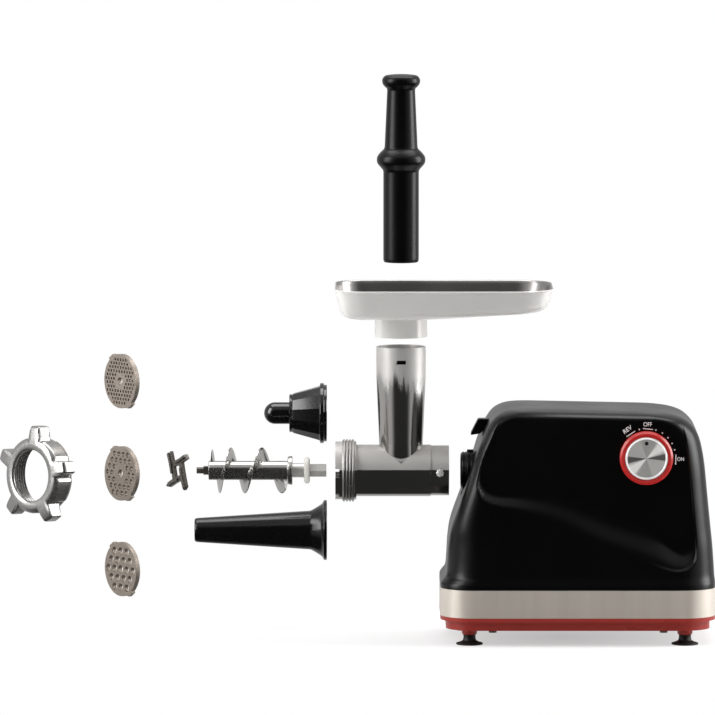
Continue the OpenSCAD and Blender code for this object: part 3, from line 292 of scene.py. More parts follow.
polished = finish("polished head alloy", (0.7, 0.69, 0.67), 0.15, 1.0, depth=0.000005)
screw_steel = finish("screw steel", (0.7, 0.7, 0.7), 0.25, 1.0)
cast = finish("auger alloy", (0.5, 0.49, 0.47), 0.2, 0.97, depth=0.000005)
shaft_alloy = finish("auger shaft alloy", (0.6, 0.59, 0.56), 0.3, 0.55, stretch=(0.1, 1, 1))
dark_steel = finish("dark knife steel", (0.1, 0.09, 0.08), 0.34, 0.6, depth=0.000006)
sintered = finish("sintered plate steel", (0.28, 0.24, 0.205), 0.42, 0.75)
nylon = finish("nylon", (0.55, 0.54, 0.5), 0.35)
dress(black_satin, "upper_housing", "side_panel", "lock_lever", "head_boss")
dress(brushed, "steel_band")
dress(red_base, "base_tray")
dress(red_ring, "dial_ring")
dress(rubber, "suction_feet", "cord_inlet")
dress(screw_steel, "dial_face", "gearbox_screws", "collar_screws", "lever_pin", "lever_spring",
      "switch_nut", "idler_pinion", "rotor_shaft")
dress(lamination, "stator_core", "rotor_core")
for name, colour, roughness, metallic, dressed in INNER_FINISHES:
    dress(finish(name, colour, roughness, metallic), *dressed.split())
dress(polished, "ring_nut", "hopper_tray")
dress(nylon, "head_bush", "thrust_washer")
dress(tool_black, "pusher", "pusher_plug", "kebbe_mandrel", "kebbe_shaper", "sausage_tube")
dress(cast, "auger_screw")
dress(shaft_alloy, "auger_shank")
dress(dark_steel, "auger_pin", "cross_knife", "base_screws")
dress(sintered, "medium_plate", "fine_plate", "coarse_plate")


# ---------------- mesh from grids
# Every new piece is one or more grids of points joined into quads. Sizes are in millimetres,
# turned into metres when the mesh is made.
def shell(grid, loop=False):
    """Quads over a grid of points [row, column] whose last column joins the first. In a loop the
    last row joins the first too; otherwise a fan to its middle closes each end row."""
    rows, columns = grid.shape[:2]
    left = np.arange(rows * columns).reshape(rows, columns)
    left = np.vstack([left, left[:1]]) if loop else left
    right = np.roll(left, -1, axis=1)
    faces = np.stack([left[:-1], right[:-1], right[1:], left[1:]], -1).reshape(-1, 4).tolist()
    points = grid.reshape(-1, 3)
    if not loop:
        for row, order in ((0, -1), (rows - 1, 1)):
            pairs = np.stack([left[row], right[row]], -1)[:, ::order]
            faces += np.column_stack([pairs, np.full(columns, len(points))]).tolist()
            points = np.vstack([points, grid[row].mean(axis=0)])
    return points, faces


def joined(shells):
    """Shells as one list of points and one of faces."""
    points, faces = [], []
    for part, part_faces, *_ in shells:
        offset = sum(len(p) for p in points)
        points.append(part)
        faces += [[i + offset for i in face] for face in part_faces]
    return (np.vstack(points) / 1000).tolist(), faces


def build(name, shells, materials, body, crease=35, bevel=0.0, replaces=()):
    """One piece from shells, each (points, faces, material index); closed shells face outward."""
    points, faces = joined(shells)
    slots = []
    for _, part_faces, material in shells:
        slots += [material] * len(part_faces) if isinstance(material, int) else list(material)
    mesh = bpy.data.meshes.new(name)
    mesh.from_pydata(points, [], faces)
    mesh.polygons.foreach_set("material_index", slots)
    work = bmesh.new()
    work.from_mesh(mesh)
    bmesh.ops.recalc_face_normals(work, faces=work.faces)
    work.to_mesh(mesh)
    work.free()
    mesh.polygons.foreach_set("use_smooth", np.ones(len(mesh.polygons), bool))
    mesh.set_sharp_from_angle(angle=math.radians(crease))
    for material in materials:
        mesh.materials.append(material)
    piece = new_object(name, mesh)
    if bevel:
        rounding = piece.modifiers.new("rounded edges", "BEVEL")
        rounding.width, rounding.segments, rounding.limit_method = bevel / 1000, 3, "ANGLE"
        rounding.harden_normals = True
    if replaces:
        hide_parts(*replaces)
    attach(piece, body)
    return piece


def eased(points, reach, steps=5):
    """Rounds each inner corner of an open profile: a quadratic curve replaces the last and first
    reach millimetres of the two edges that meet there, or under half of a shorter edge."""
    points = np.array(points, float)
    out = [points[0]]
    for before, corner, after in zip(points[:-2], points[1:-1], points[2:]):
        a, b = before - corner, after - corner
        la, lb = np.linalg.norm(a), np.linalg.norm(b)
        start = corner + a / la * min(reach, la * 0.49)
        end = corner + b / lb * min(reach, lb * 0.49)
        for t in np.linspace(0, 1, steps):
            out.append((1 - t) ** 2 * start + 2 * t * (1 - t) * corner + t * t * end)
    return np.array(out + [points[-1]])


def circle(count):
    """Angles spread evenly round a whole turn."""
    return np.linspace(0, 2 * math.pi, count, endpoint=False)


def spin(degrees):
    """A matrix that turns flat points, given as rows, anticlockwise."""
    a = math.radians(degrees)
    return np.array([[math.cos(a), math.sin(a)], [-math.sin(a), math.cos(a)]])


def edge(name, end, axis):
    """One side of a node's box in millimetres: end 0 is low and 1 is high."""
    return float(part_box(name)[end][axis]) * 1000


def lathe(profile, axis="x", centre=(0, 0, 0), count=96):
    """Rows of circles: each profile row is (place along the axis, radius)."""
    profile = np.asarray(profile, float)
    turn = circle(count)
    across, up = profile[:, 1:2] * np.cos(turn), profile[:, 1:2] * np.sin(turn)
    along = np.repeat(profile[:, :1], count, axis=1)
    order = {"x": (along, across, up), "y": (across, along, up), "z": (across, up, along)}[axis]
    return np.stack(order, -1) + np.array(centre, float)


def turned(profile, axis="x", centre=(0, 0, 0), count=96, loop=False, material=0):
    """A lathed profile as one shell of a piece."""
    return *shell(lathe(profile, axis, centre, count), loop=loop), material


def prism(outline, low, high, axis="y"):
    """A flat outline drawn out between two levels, as one shell of a piece; its two flat ends are
    single faces."""
    outline = np.array(outline, float)
    order = {"x": (2, 0, 1), "y": (0, 2, 1), "z": (0, 1, 2)}[axis]
    count = len(outline)
    ends = [np.column_stack([outline, np.full(count, level)])[:, order] for level in (low, high)]
    ring = list(range(count))
    faces = [ring[::-1], [count + i for i in ring]]
    faces += [[i, (i + 1) % count, count + (i + 1) % count, count + i] for i in ring]
    return np.vstack(ends), faces, 0


JOINTS = {entry["name"]: entry for entry in frame["joints"]}


def shown(joint, points):
    """Takes points drawn where a joint brings its piece home to where the piece is shown."""
    entry = JOINTS[joint]
    turn = np.array(Matrix.Rotation(-math.radians(entry["range_deg"][1]), 3, Vector(entry["axis"])))
    pole = np.array(entry["pos_m"]) * 1000
    return pole + (points - pole) @ turn.T


# ---------------- black housing
# One black moulding with rounded corners and a rounded top. A flat panel is let into the dial
# side: its front and back edges are crisp, and its lower edge runs out in a soft scoop.
BAND_TOP = float(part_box("steel_band")[1][2])
BAND_FRONT = float(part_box("steel_band")[0][0])
BAND_BACK = float(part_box("steel_band")[1][0])
BAND_HALF = float(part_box("steel_band")[1][1])
PANEL_Y = float(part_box("side_panel")[0][1])
# height over the band, then insets of front, back and sides, then front and back corner radii
HOUSING_RINGS = np.array([
    (0.0, 0.1, 0.1, 1.4, 34, 34), (4.5, 0.3, 0.1, 2.0, 34, 34), (8, 2.5, 0.4, 2.9, 34, 34),
    (13, 5.7, 1, 4, 34, 34), (24, 6.8, 1.6, 4.8, 34, 34), (43, 8, 3, 5.4, 33, 34),
    (62, 11.5, 5, 5.8, 28, 34), (92, 22.5, 8, 6, 21, 34), (122, 32.5, 11, 6.3, 20, 33),
    (140, 38, 14, 6.8, 20, 32), (153, 43.5, 17.5, 7.4, 20, 31), (161.5, 47.5, 21.5, 8.4, 20, 30),
    (169, 53, 28, 10.8, 20, 28), (173.7, 59.5, 36, 15, 20, 26), (176.8, 68, 48, 23, 20, 24),
    (178.2, 84, 66, 38, 18, 22)]) / 1000
TOP_SLOPE, SLOPE_START, SLOPE_FROM, SLOPE_OVER = 0.02, 0.07, 0.03, 0.035
PANEL_FOOT, CROWN_SHARES, CROWN_ROWS = 0.012, (0.85, 0.15), 6
# points along the sides and round the corners of a ring; the dial side's corners are finer
SIDE_COLUMNS, END_COLUMNS, NEAR_CORNERS, FAR_CORNER, HOUSING_ROWS = 190, 24, (66, 44), 12, 165
# panel outline as seen from its side: x, z, width of its slope, and its crisp lip's share
PANEL_RIM = np.array([
    (40, 59.5, 2.5, 1), (48, 64, 4, 1), (70, 69, 9, 0), (130, 69, 9, 0), (185, 69, 7, .2),
    (205, 66, 3, .6), (216, 60, 2.2, 1), (221, 52, 2, 1), (225.2, 28.8, 2, 1),
    (228.7, -1, 2, 1), (232, -37, 2, 1), (234.6, -64, 2.4, 1), (235, -74, 5, .8),
    (233.4, -82, 12, .4), (229, -88.5, 22, .22), (221, -92.4, 28, .16), (210, -92.8, 32, .12),
    (190, -86.5, 33, .05), (168.5, -77.5, 31, 0), (133, -63.5, 28, 0), (97.7, -47, 26, 0),
    (62.3, -36, 20, 0), (35.8, -28.5, 12, 0), (22, -21, 8, .08), (16.8, -12, 4.5, .45),
    (16, -1, 2.4, 1), (20, 16.4, 2.2, 1), (27, 34, 2.2, 1), (34, 50, 2.2, 1)])
PANEL_RIM[:, :3] /= 1000
PANEL_SINK, SINK_FROM, SINK_OVER = 0.003, -0.015, 0.07
RIM_BLEND, LIP_WIDTH, EASE = 0.006, 0.0018, 0.0022
VENTS, VENT_PITCH, VENT_FIRST, VENT_HALF, VENT_GAP, VENT_DEPTH = 6, 9.0, 41.5, 28.5, 3.0, 4.0
# along the drive axis and radius: room for the head's collar, then for the auger's shank
DOCK_ROOM = [(-20.0, 0.01), (-20.0, 25.5), (6.9, 25.5), (6.9, 14.45), (34.0, 14.45), (34.0, 0.01)]


def smooth_curve(knots, samples, closed=False):
    """Catmull-Rom curve: each span is a cubic through its two knots whose end slopes are half
    the chord between the knots on either side."""
    count = len(knots)
    spans = count if closed else count - 1
    t = np.linspace(0, spans, samples, endpoint=not closed)
    i = np.minimum(t.astype(int), spans - 1)
    f = (t - i)[:, None]
    near = (lambda k: knots[k % count]) if closed else (lambda k: knots[np.clip(k, 0, count - 1)])
    a, b, c, d = near(i - 1), near(i), near(i + 1), near(i + 2)
    return b + 0.5 * f * (c - a + f * (2 * a - 5 * b + 4 * c - d + f * (3 * (b - c) + d - a)))


def smooth_step(t):
    """0 below 0, 1 above 1, and t * t * (3 - 2t) between."""
    t = np.clip(t, 0, 1)
    return t * t * (3 - 2 * t)


def ring_columns(x0, x1, half, front_r, back_r):
    """Rounded rectangles, one per row: straight sides between quarter circles, counter-clockwise
    seen from above, starting on the dial side. Each size is one value per row."""
    def at(x, y):
        return np.stack([x, y], -1)

    def corner(cx, cy, r, start, count):
        turn = np.radians(start + np.linspace(0, 90, count, endpoint=False))
        r = r[:, None]
        return at(cx[:, None] + r * np.cos(turn), cy[:, None] + r * np.sin(turn))

    def side(a, b, count):
        t = np.linspace(0, 1, count, endpoint=False)[None, :, None]
        return a[:, None] * (1 - t) + b[:, None] * t
    left, right = x0 + front_r, x1 - back_r
    front, back = half - front_r, half - back_r
    return np.concatenate([
        side(at(left, -half), at(right, -half), SIDE_COLUMNS),
        corner(right, -back, back_r, -90, NEAR_CORNERS[0]),
        side(at(x1, -back), at(x1, back), END_COLUMNS),
        corner(right, back, back_r, 0, FAR_CORNER),
        side(at(right, half), at(left, half), END_COLUMNS * 2),
        corner(left, front, front_r, 90, FAR_CORNER),
        side(at(x0, front), at(x0, -front), END_COLUMNS),
        corner(left, -front, front_r, 180, NEAR_CORNERS[1])], axis=1)


def rim_distance(x, z):
    """Distance in from the panel's rim (negative outside), with that place's edge width and
    crispness: the nearest of the rim's short straight pieces, signed by counting crossings;
    the width and crispness are means over the pieces, weighted to the nearest."""
    rim = smooth_curve(PANEL_RIM, 150, closed=True)
    following = np.roll(rim, -1, axis=0)
    a, run = rim[:, :2], following[:, :2] - rim[:, :2]
    p = np.stack([x, z], -1)[:, None]
    t = np.clip(((p - a) * run).sum(-1) / (run ** 2).sum(-1), 0, 1)
    gap = np.linalg.norm(p - a - t[..., None] * run, axis=-1)
    near = np.exp(-(gap - gap.min(axis=1, keepdims=True)) / RIM_BLEND)
    near /= near.sum(axis=1, keepdims=True)
    b = following[:, :2]
    crosses = (a[:, 1] > z[:, None]) != (b[:, 1] > z[:, None])
    slope = (b[:, 0] - a[:, 0]) / np.where(b[:, 1] == a[:, 1], 1e-9, b[:, 1] - a[:, 1])
    ahead = x[:, None] < a[:, 0] + slope * (z[:, None] - a[:, 1])
    inside = (crosses & ahead).sum(axis=1) % 2 == 1
    return np.where(inside, 1, -1) * gap.min(axis=1), near @ rim[:, 2], near @ rim[:, 3]


def housing_grid():
    """Stacked rounded rectangles whose insets follow a smooth curve up the height; the dial side
    is drawn back to the panel's plane inside the panel's rim, and the top is a shallow crown."""
    rows = smooth_curve(HOUSING_RINGS, HOUSING_ROWS)
    height, front, back, side, front_r, back_r = rows.T
    ring = ring_columns(BAND_FRONT + front, BAND_BACK - back, BAND_HALF - side, front_r, back_r)
    z = np.repeat(BAND_TOP + height[:, None], ring.shape[1], axis=1)
    tilt = TOP_SLOPE * (ring[..., 0] - BAND_FRONT - SLOPE_START)
    tilt *= smooth_step((z - SLOPE_FROM) / SLOPE_OVER)
    grid = np.dstack([ring, z - np.maximum(tilt, 0)])
    near = (grid[..., 1] < 0) & (z > BAND_TOP + PANEL_FOOT)
    x, y, up = grid[near].T
    inward, width, crisp = rim_distance(x, up)
    share = crisp * smooth_step(inward / LIP_WIDTH) + (1 - crisp) * smooth_step(inward / width)
    floor = PANEL_Y + PANEL_SINK * smooth_step((SINK_FROM - up) / SINK_OVER)
    depth = (floor - y + np.sqrt((floor - y) ** 2 + EASE ** 2)) / 2
    grid[near, 1] = y + share * depth
    middle = grid[-1].mean(axis=0)
    crown = middle + (grid[-1] - middle) * np.linspace(*CROWN_SHARES, CROWN_ROWS)[:, None, None]
    return np.concatenate([grid, crown])


def cut(piece, shells, crease):
    """Takes closed shells out of a piece for good."""
    points, faces = joined(shells)
    mesh = bpy.data.meshes.new("cutter")
    mesh.from_pydata(points, [], faces)
    cutter = new_object("cutter", mesh)
    work = piece.modifiers.new("cut", "BOOLEAN")
    work.object, work.solver = cutter, "EXACT"
    carved = bpy.data.meshes.new_from_object(
        piece.evaluated_get(bpy.context.evaluated_depsgraph_get()))
    piece.modifiers.clear()
    piece.data = carved
    carved.set_sharp_from_angle(angle=math.radians(crease))
    bpy.data.objects.remove(cutter)


def slot_outline(half, thick):
    """A straight slot with round ends, lying along the first axis."""
    turn = np.radians(np.linspace(-90, 90, 9))
    end = np.column_stack([half + thick / 2 * np.cos(turn), thick / 2 * np.sin(turn)])
    return np.vstack([end, -end])


housing = build("housing_shell", [(*shell(housing_grid() * 1000), 0)], [black_satin], "motor_unit",
                crease=50, replaces=("upper_housing", "side_panel"))
vents = []
for row in range(VENTS):
    height = VENT_FIRST + VENT_PITCH * row
    surface = (BAND_BACK - np.interp(height / 1000, *HOUSING_RINGS[:, [0, 2]].T)) * 1000
    outline = slot_outline(VENT_HALF, VENT_GAP) + (0, BAND_TOP * 1000 + height)
    vents.append(prism(outline, surface - VENT_DEPTH, surface + 1.5 * VENT_DEPTH, "x"))
cut(housing, vents + [turned(DOCK_ROOM)], 50)

# ---------------- dial
# A red ring round a turned metal face whose colour carries painted highlights and painted shade in
# wedges, with a painted highlight on its chamfer, a fine circular brushing and one black dot, and
# the white marks printed round it on the panel.
DIAL_X, DIAL_Z = 183.5, 20.2
DIAL_FRONT, PANEL_PLANE = edge("dial_face", 0, 1), edge("side_panel", 0, 1)
# share of half a turn and tone there: light and dark wedges of painted highlight and painted shade,
# in place of the reflections of turned metal
PAINTED_LIGHT_WEDGES = [(0.0, 0.1), (0.07, 0.11), (0.1, 0.6), (0.16, 1.0), (0.27, 1.0), (0.33, 0.42),
          (0.56, 0.38), (0.64, 0.55), (0.95, 0.5), (0.975, 0.1)]
GREEN_SHARE, BLUE_SHARE = 0.98, 0.94
GROOVE_TURNS, GROOVE_DEPTH = 25000.0, 0.00002
CHAMFER_R, DOT_UP, DOT_R = 18.85, 15, 1.9
TEXT_WIDTH, TEXT_OUT, PRINT_OUT, PRINT_IN, DOT_PRINT_R = 0.86, 0.06, 0.1, 0.02, 0.75
# word, size, place from the dial's middle and degrees turned; then each bar's two ends; then dots
WORDS = (("REV", 6.4, -18.7, 27.6, 32), ("OFF", 5.9, 1.4, 32.8, 0), ("ON", 5.3, 34.2, -1.8, 0))
BARS = ((-19.7, 20.7, -11.1, 26.3), (-3.4, 28.9, 6.7, 27.9), (29.5, 2.9, 29.2, -7.1))
BAR_WIDTH, TEXT_THICK, TEXT_BOLD = 0.9, 0.05, 0.02
DOTS = ((-6.9, 27.9), (9.5, 27.3), (16, 24.3), (21.5, 19.7), (25.6, 14), (28.2, 7.7))


def turned_metal_painted_light():
    """Light metal whose colour runs round its centre in light and dark wedges of painted highlight
    and painted shade, in place of the reflections that turned metal gives, over circular
    grooves 0.25 mm apart."""
    material, tree, shader = new_material("turned dial metal, painted light")
    shader.inputs["Metallic"].default_value = 0.45
    shader.inputs["Roughness"].default_value = 0.3
    place = axes(tree)
    across = math_node(tree, "SUBTRACT", place["X"], DIAL_X / 1000)
    up = math_node(tree, "SUBTRACT", place["Z"], DIAL_Z / 1000)
    angle = math_node(tree, "ARCTAN2", up, across)
    half_turns = math_node(tree, "MULTIPLY_ADD", angle, 1 / math.pi, 1.0)
    share = math_node(tree, "FRACT", half_turns)
    # painted highlights and painted shade: a colour ramp of the angle round the dial's middle
    tone = add(tree, "ValToRGB")
    stops = tone.color_ramp.elements
    stops[0].position, stops[1].position = PAINTED_LIGHT_WEDGES[0][0], PAINTED_LIGHT_WEDGES[-1][0]
    for along, _ in PAINTED_LIGHT_WEDGES[1:-1]:
        stops.new(along)
    for stop, (_, level) in zip(stops, PAINTED_LIGHT_WEDGES):
        stop.color = (level, level * GREEN_SHARE, level * BLUE_SHARE, 1)
    tree.links.new(share, tone.inputs["Fac"])
    tree.links.new(tone.outputs["Color"], shader.inputs["Base Color"])
    square = math_node(tree, "MULTIPLY", across, across)
    out = math_node(tree, "SQRT", math_node(tree, "MULTIPLY_ADD", up, up, square))
    groove = math_node(tree, "SINE", math_node(tree, "MULTIPLY", out, GROOVE_TURNS))
    bump = add(tree, "Bump", Distance=GROOVE_DEPTH)
    tree.links.new(groove, bump.inputs["Height"])
    tree.links.new(bump.outputs["Normal"], shader.inputs["Normal"])
    return material


DIAL_PROFILE = eased([(7, 0.01), (7, 21.4), (1.6, 21.4), (0.1, 20.2), (0, 19.5), (0.5, 18.9),
                      (0.5, 0.01)], 0.2, 3) + (DIAL_FRONT, 0)
# painted highlight: the chamfer is a near-white copy of the dial metal, bright by its colour
chamfer_painted_highlight = finish("chamfer painted highlight", (0.95, 0.93, 0.9), 0.3, 0.3)
print_black = finish("black paint", (0.002, 0.002, 0.002), 0.5)
print_white = finish("white print", (0.8, 0.8, 0.8), 0.5)
points, faces, _ = turned(DIAL_PROFILE, "y", (DIAL_X, 0, DIAL_Z), 120)
away = np.hypot(points[:, 0] - DIAL_X, points[:, 2] - DIAL_Z)
face_slots = [int(away[face].min() > CHAMFER_R) for face in faces]
dot_profile = np.array([(0.6, DOT_R), (0.4, DOT_R), (0.38, DOT_R - 0.3)]) + (DIAL_FRONT, 0)
dot = turned(dot_profile, "y", (DIAL_X, 0, DIAL_Z + DOT_UP), 32, material=2)
build("dial_metal", [(points, faces, face_slots), dot],
      [turned_metal_painted_light(), chamfer_painted_highlight, print_black], "dial", replaces=("dial_face",))


def printed_text(word, size, x, z, turn):
    """The outline of a word as flat shells, its middle at a place round the dial."""
    curve = bpy.data.curves.new(word, "FONT")
    curve.body, curve.size, curve.align_x, curve.align_y = word, size, "CENTER", "CENTER"
    curve.extrude, curve.resolution_u, curve.offset = TEXT_THICK, 4, TEXT_BOLD
    text = new_object(word, curve)
    mesh = bpy.data.meshes.new_from_object(text)
    points = np.array([v.co for v in mesh.vertices])
    faces = [list(p.vertices) for p in mesh.polygons]
    bpy.data.objects.remove(text)
    flat = points[:, :2] @ spin(turn) * (TEXT_WIDTH, 1)
    return np.column_stack([DIAL_X + x + flat[:, 0], PANEL_PLANE - TEXT_OUT + points[:, 2],
                            DIAL_Z + z + flat[:, 1]]), faces, 0


def printed_bar(x0, z0, x1, z1):
    """A straight printed line as a thin box."""
    a, b = np.array([x0, z0]), np.array([x1, z1])
    side = (b - a)[::-1] * (-1, 1) / np.linalg.norm(b - a) * BAR_WIDTH / 2
    corners = np.array([a - side, b - side, b + side, a + side]) + (DIAL_X, DIAL_Z)
    return prism(corners, PANEL_PLANE - PRINT_OUT, PANEL_PLANE - PRINT_IN)


marks = [printed_text(*word) for word in WORDS] + [printed_bar(*bar) for bar in BARS]
disc = [(PANEL_PLANE - PRINT_OUT, DOT_PRINT_R), (PANEL_PLANE - PRINT_IN, DOT_PRINT_R)]
marks += [turned(disc, "y", (DIAL_X + x, 0, DIAL_Z + z), 20) for x, z in DOTS]
build("dial_marks", marks, [print_white], "motor_unit")

# ---------------- lock lever
# A slanted black paddle above the boss.
LEVER_OUTLINE = [(10.3, 36.2), (19.6, 37.6), (24.5, 42.5), (29.6, 43.5), (29.6, 51.0), (27.5, 52.4),
                 (18.2, 52.4), (17.2, 51.6), (10.6, 38.6)]
LEVER_HALF = 6.9
build("lever_paddle", [prism(LEVER_OUTLINE, -LEVER_HALF, LEVER_HALF)], [black_satin],
      "lock_lever", bevel=0.5, replaces=("lock_lever",))

# ---------------- boss
# The black boss that the head slides over: a rounded nose, shallow grooves, a key on its top
# and an open bore with the drive socket inside.
BOSS_R, BOSS_BORE, BOSS_BACK, BOSS_STEP_R = 18.8, 14.45, 33.0, 19.45
# the key's two layers: front, back, top and half width; both start inside the boss
KEY_LAYERS, KEY_LOW, KEY_CHAMFER = ((6.6, 13.0, 20.9, 4.0), (8.4, 12.6, 21.0, 2.4)), 17.5, 0.6
boss_profile = eased([(BOSS_BACK, BOSS_BORE), (0.9, BOSS_BORE), (0.1, BOSS_BORE + 0.8), (0.0, 16.2),
                      (1.1, 18.1), (2.6, BOSS_R), (3.4, BOSS_R), (3.7, 18.3), (4.3, 18.3),
                      (4.6, BOSS_R), (6.4, BOSS_R), (6.7, BOSS_STEP_R), (9.4, BOSS_STEP_R),
                      (9.7, 19.0), (10.3, 19.0), (10.6, BOSS_STEP_R), (BOSS_BACK, BOSS_STEP_R)],
                     0.5, 4)
boss_parts = [turned(boss_profile, loop=True)]
for low, high, top, half in KEY_LAYERS:
    flat, below = half - KEY_CHAMFER, top - KEY_CHAMFER
    outline = [(-half, KEY_LOW), (half, KEY_LOW), (half, below), (flat, top), (-flat, top),
               (-half, below)]
    boss_parts.append(prism(outline, low, high, "x"))
build("boss_sleeve", boss_parts, [black_satin], "motor_unit", replaces=("head_boss",))

# ---------------- feet
# Red stems under the base carry black rubber cups whose thin rims rest on the table.
FOOT_X, FOOT_Y = (8.5, 223.0), (-59.0, 59.0)
# height over the floor and radius; the stem's upper end is 1 mm inside the base
STEM_PROFILE = eased([(16.5, 7.6), (11.3, 7.6), (10.1, 7.0)], 0.5)
CUP_PROFILE = eased([(10.5, 6.2), (7.0, 6.0), (4.2, 6.6), (2.6, 9.5), (1.5, 13.3), (0.7, 13.5),
                     (0, 13.1)], 0.8)
feet = []
for x in FOOT_X:
    for y in FOOT_Y:
        centre = (x, y, FLOOR_Z * 1000)
        feet.append(turned(STEM_PROFILE[::-1], "z", centre, 48))
        feet.append(turned(CUP_PROFILE[::-1], "z", centre, 64, material=1))
build("rubber_feet", feet, [red_base, rubber], "motor_unit", replaces=("suction_feet",))

# ---------------- tube head
# One cast alloy piece: the feed neck runs down into the barrel. It is polished, but satin at the
# neck's top and on the barrel's upper half. Rolled threads, a fine seam round the collar, two
# rosette screws and a thin black plate under the neck's mouth, painted shade for a small slot,
# finish it.
NECK_X = -59.5
# metres up the neck where the polish ends, and how far the streaks move that border
POLISH_ENDS, STREAK_REACH, STREAK_SIZE, STREAK_STRETCH = (0.080, 0.100), 0.05, 260.0, (1, 0.2, 0.03)
# the barrel's satin starts above the first border and ends at a V under the neck
SATIN_FROM, VEE_SLOPE, VEE_TIP = (0.0025, 0.0035), 0.75, (0.0087, 0.0097)
SATIN_ROUGH, SATIN_DULL = 0.3, 0.5
COLLAR_SEAM_X, COLLAR_R, SEAM_HALF, SEAM_OUT = edge("tube_head", 1, 0) - 18.4, 25.0, 0.35, 0.3
THREAD_FROM, THREAD_TO, FIRST_CREST, THREAD_PITCH = -118.2, -105.9, -116.7, 3.0
THREAD_MID_R, THREAD_HALF, THREAD_ROOT = 30.5, 0.83, 26.0
ROSETTE_PROFILE = np.array([(0.0, 3.9), (1.2, 3.9), (1.9, 3.4), (2.2, 2.7), (1.9, 2.3),
                            (2.3, 1.9), (2.6, 0.01)])
ROSETTE_X, ROSETTE_Y, LOBES, LOBE_SHARE, LOBE_FROM = -20.5, 24.9, 8, 0.09, 2.0
# outline and depth of the black plate that paints the shade of a slot under the neck's mouth
SLOT_SHADE_OUTLINE = [(-64.2, 108.7), (-54.8, 108.7), (-54.8, 112.3), (-63.4, 112.3)]
SLOT_SHADE_DEPTH = (-24.3, -23.7)


def head_alloy():
    """Polished alloy that turns satin up the neck, with a streaky border, and on the barrel from
    its middle up to a V. The V's border is where the height, less a share of the distance from
    the neck's middle, reaches its tip's height."""
    material = finish("head alloy", (0.5, 0.488, 0.47), 0.15, 1.0, depth=0.000004)
    tree = material.node_tree
    shader = tree.nodes["Principled BSDF"]
    place = axes(tree)
    across = add(tree, "Mapping", Scale=STREAK_STRETCH)
    tree.links.new(tree.nodes["Texture Coordinate"].outputs["Object"], across.inputs["Vector"])
    streak = noise(tree, across.outputs["Vector"], STREAK_SIZE, 2.0)
    jitter = math_node(tree, "MULTIPLY_ADD", streak.outputs["Fac"], STREAK_REACH, place["Z"])
    top = ramp(tree, math_node(tree, "SUBTRACT", jitter, STREAK_REACH / 2), *POLISH_ENDS)
    aside = math_node(tree, "ABSOLUTE", math_node(tree, "SUBTRACT", place["X"], NECK_X / 1000))
    vee = math_node(tree, "MULTIPLY_ADD", aside, -VEE_SLOPE, place["Z"])
    low = math_node(tree, "SUBTRACT", 1.0, ramp(tree, vee, *VEE_TIP))
    barrel = math_node(tree, "MULTIPLY", ramp(tree, place["Z"], *SATIN_FROM), low)
    satin = math_node(tree, "MAXIMUM", top, barrel)
    polish = tree.nodes["Map Range"].outputs["Result"]
    rough = math_node(tree, "MULTIPLY_ADD", satin, SATIN_ROUGH, polish)
    metal = math_node(tree, "MULTIPLY_ADD", satin, -SATIN_DULL, 1.0)
    tree.links.new(rough, shader.inputs["Roughness"])
    tree.links.new(metal, shader.inputs["Metallic"])
    return material


head_metal = head_alloy()
satin_head = finish("satin head alloy", (0.5, 0.49, 0.475), 0.34, 0.9, depth=0.000004)
dress(head_metal, "tube_head")
bead = [(COLLAR_SEAM_X + SEAM_HALF * math.cos(a), COLLAR_R + 0.02 + SEAM_OUT * math.sin(a))
        for a in circle(12)]
build("collar_seam", [turned(bead, loop=True)], [head_metal], "tube_head")
ridge = np.linspace(THREAD_FROM, THREAD_TO, 75)
wave = THREAD_MID_R + THREAD_HALF * np.cos(2 * math.pi * (ridge - FIRST_CREST) / THREAD_PITCH)
threads = [(THREAD_FROM, THREAD_ROOT), *zip(ridge, wave), (THREAD_TO, THREAD_ROOT)]
build("mouth_thread", [turned(threads, loop=True)], [satin_head], "tube_head")


def rosette(side):
    """A low dome whose edge has eight lobes, round the Y axis, with a ring groove."""
    turn, radius = circle(64), ROSETTE_PROFILE[:, 1:2]
    radius = radius * (1 + LOBE_SHARE * np.cos(LOBES * turn) * (radius > LOBE_FROM))
    along = side * (ROSETTE_Y + np.repeat(ROSETTE_PROFILE[:, :1], 64, axis=1))
    return np.stack([ROSETTE_X + radius * np.cos(turn), along, radius * np.sin(turn)], -1)


rosette_steel = finish("rosette steel", (0.62, 0.61, 0.6), 0.3, 0.45, depth=0.000005)
build("collar_rosettes", [(*shell(rosette(side)), 0) for side in (-1, 1)], [rosette_steel],
      "tube_head", replaces=("collar_screws",))
# painted shade: a thin black plate on the neck's surface stands for the dark inside of a slot
build("neck_slot_painted_shade", [prism(SLOT_SHADE_OUTLINE, *SLOT_SHADE_DEPTH)], [black_satin], "tube_head")

# ---------------- hopper tray
# A shallow pan of bright sheet: a drafted wall with a soft fillet into a sloping floor, a rolled
# rim, and a round spigot under the floor. Its outside is satin; its inside is a more metallic copy
# of the alloy with a much darker colour, which is painted shade inside the pan.
TRAY_LEFT, TRAY_RIGHT, TRAY_HALF, TRAY_H = NECK_X - 66.5, NECK_X + 152.1, 73.0, 30.0
TRAY_LOW, TRAY_FLOOR = edge("hopper_tray", 0, 2), edge("hopper_tray", 1, 2) - TRAY_H
TRAY_RADII, RADIUS_SHARE, LEAST_RADIUS = (30.0, 38.0), 0.75, 4.0
FLOOR_SLOPE, SLOPE_AHEAD, FLOOR_RINGS = 0.056, 20, 8
SPIGOT_R, SPIGOT_BORE, NECK_BORE, LEDGE = 26.2, 25.0, 22.7, 0.08
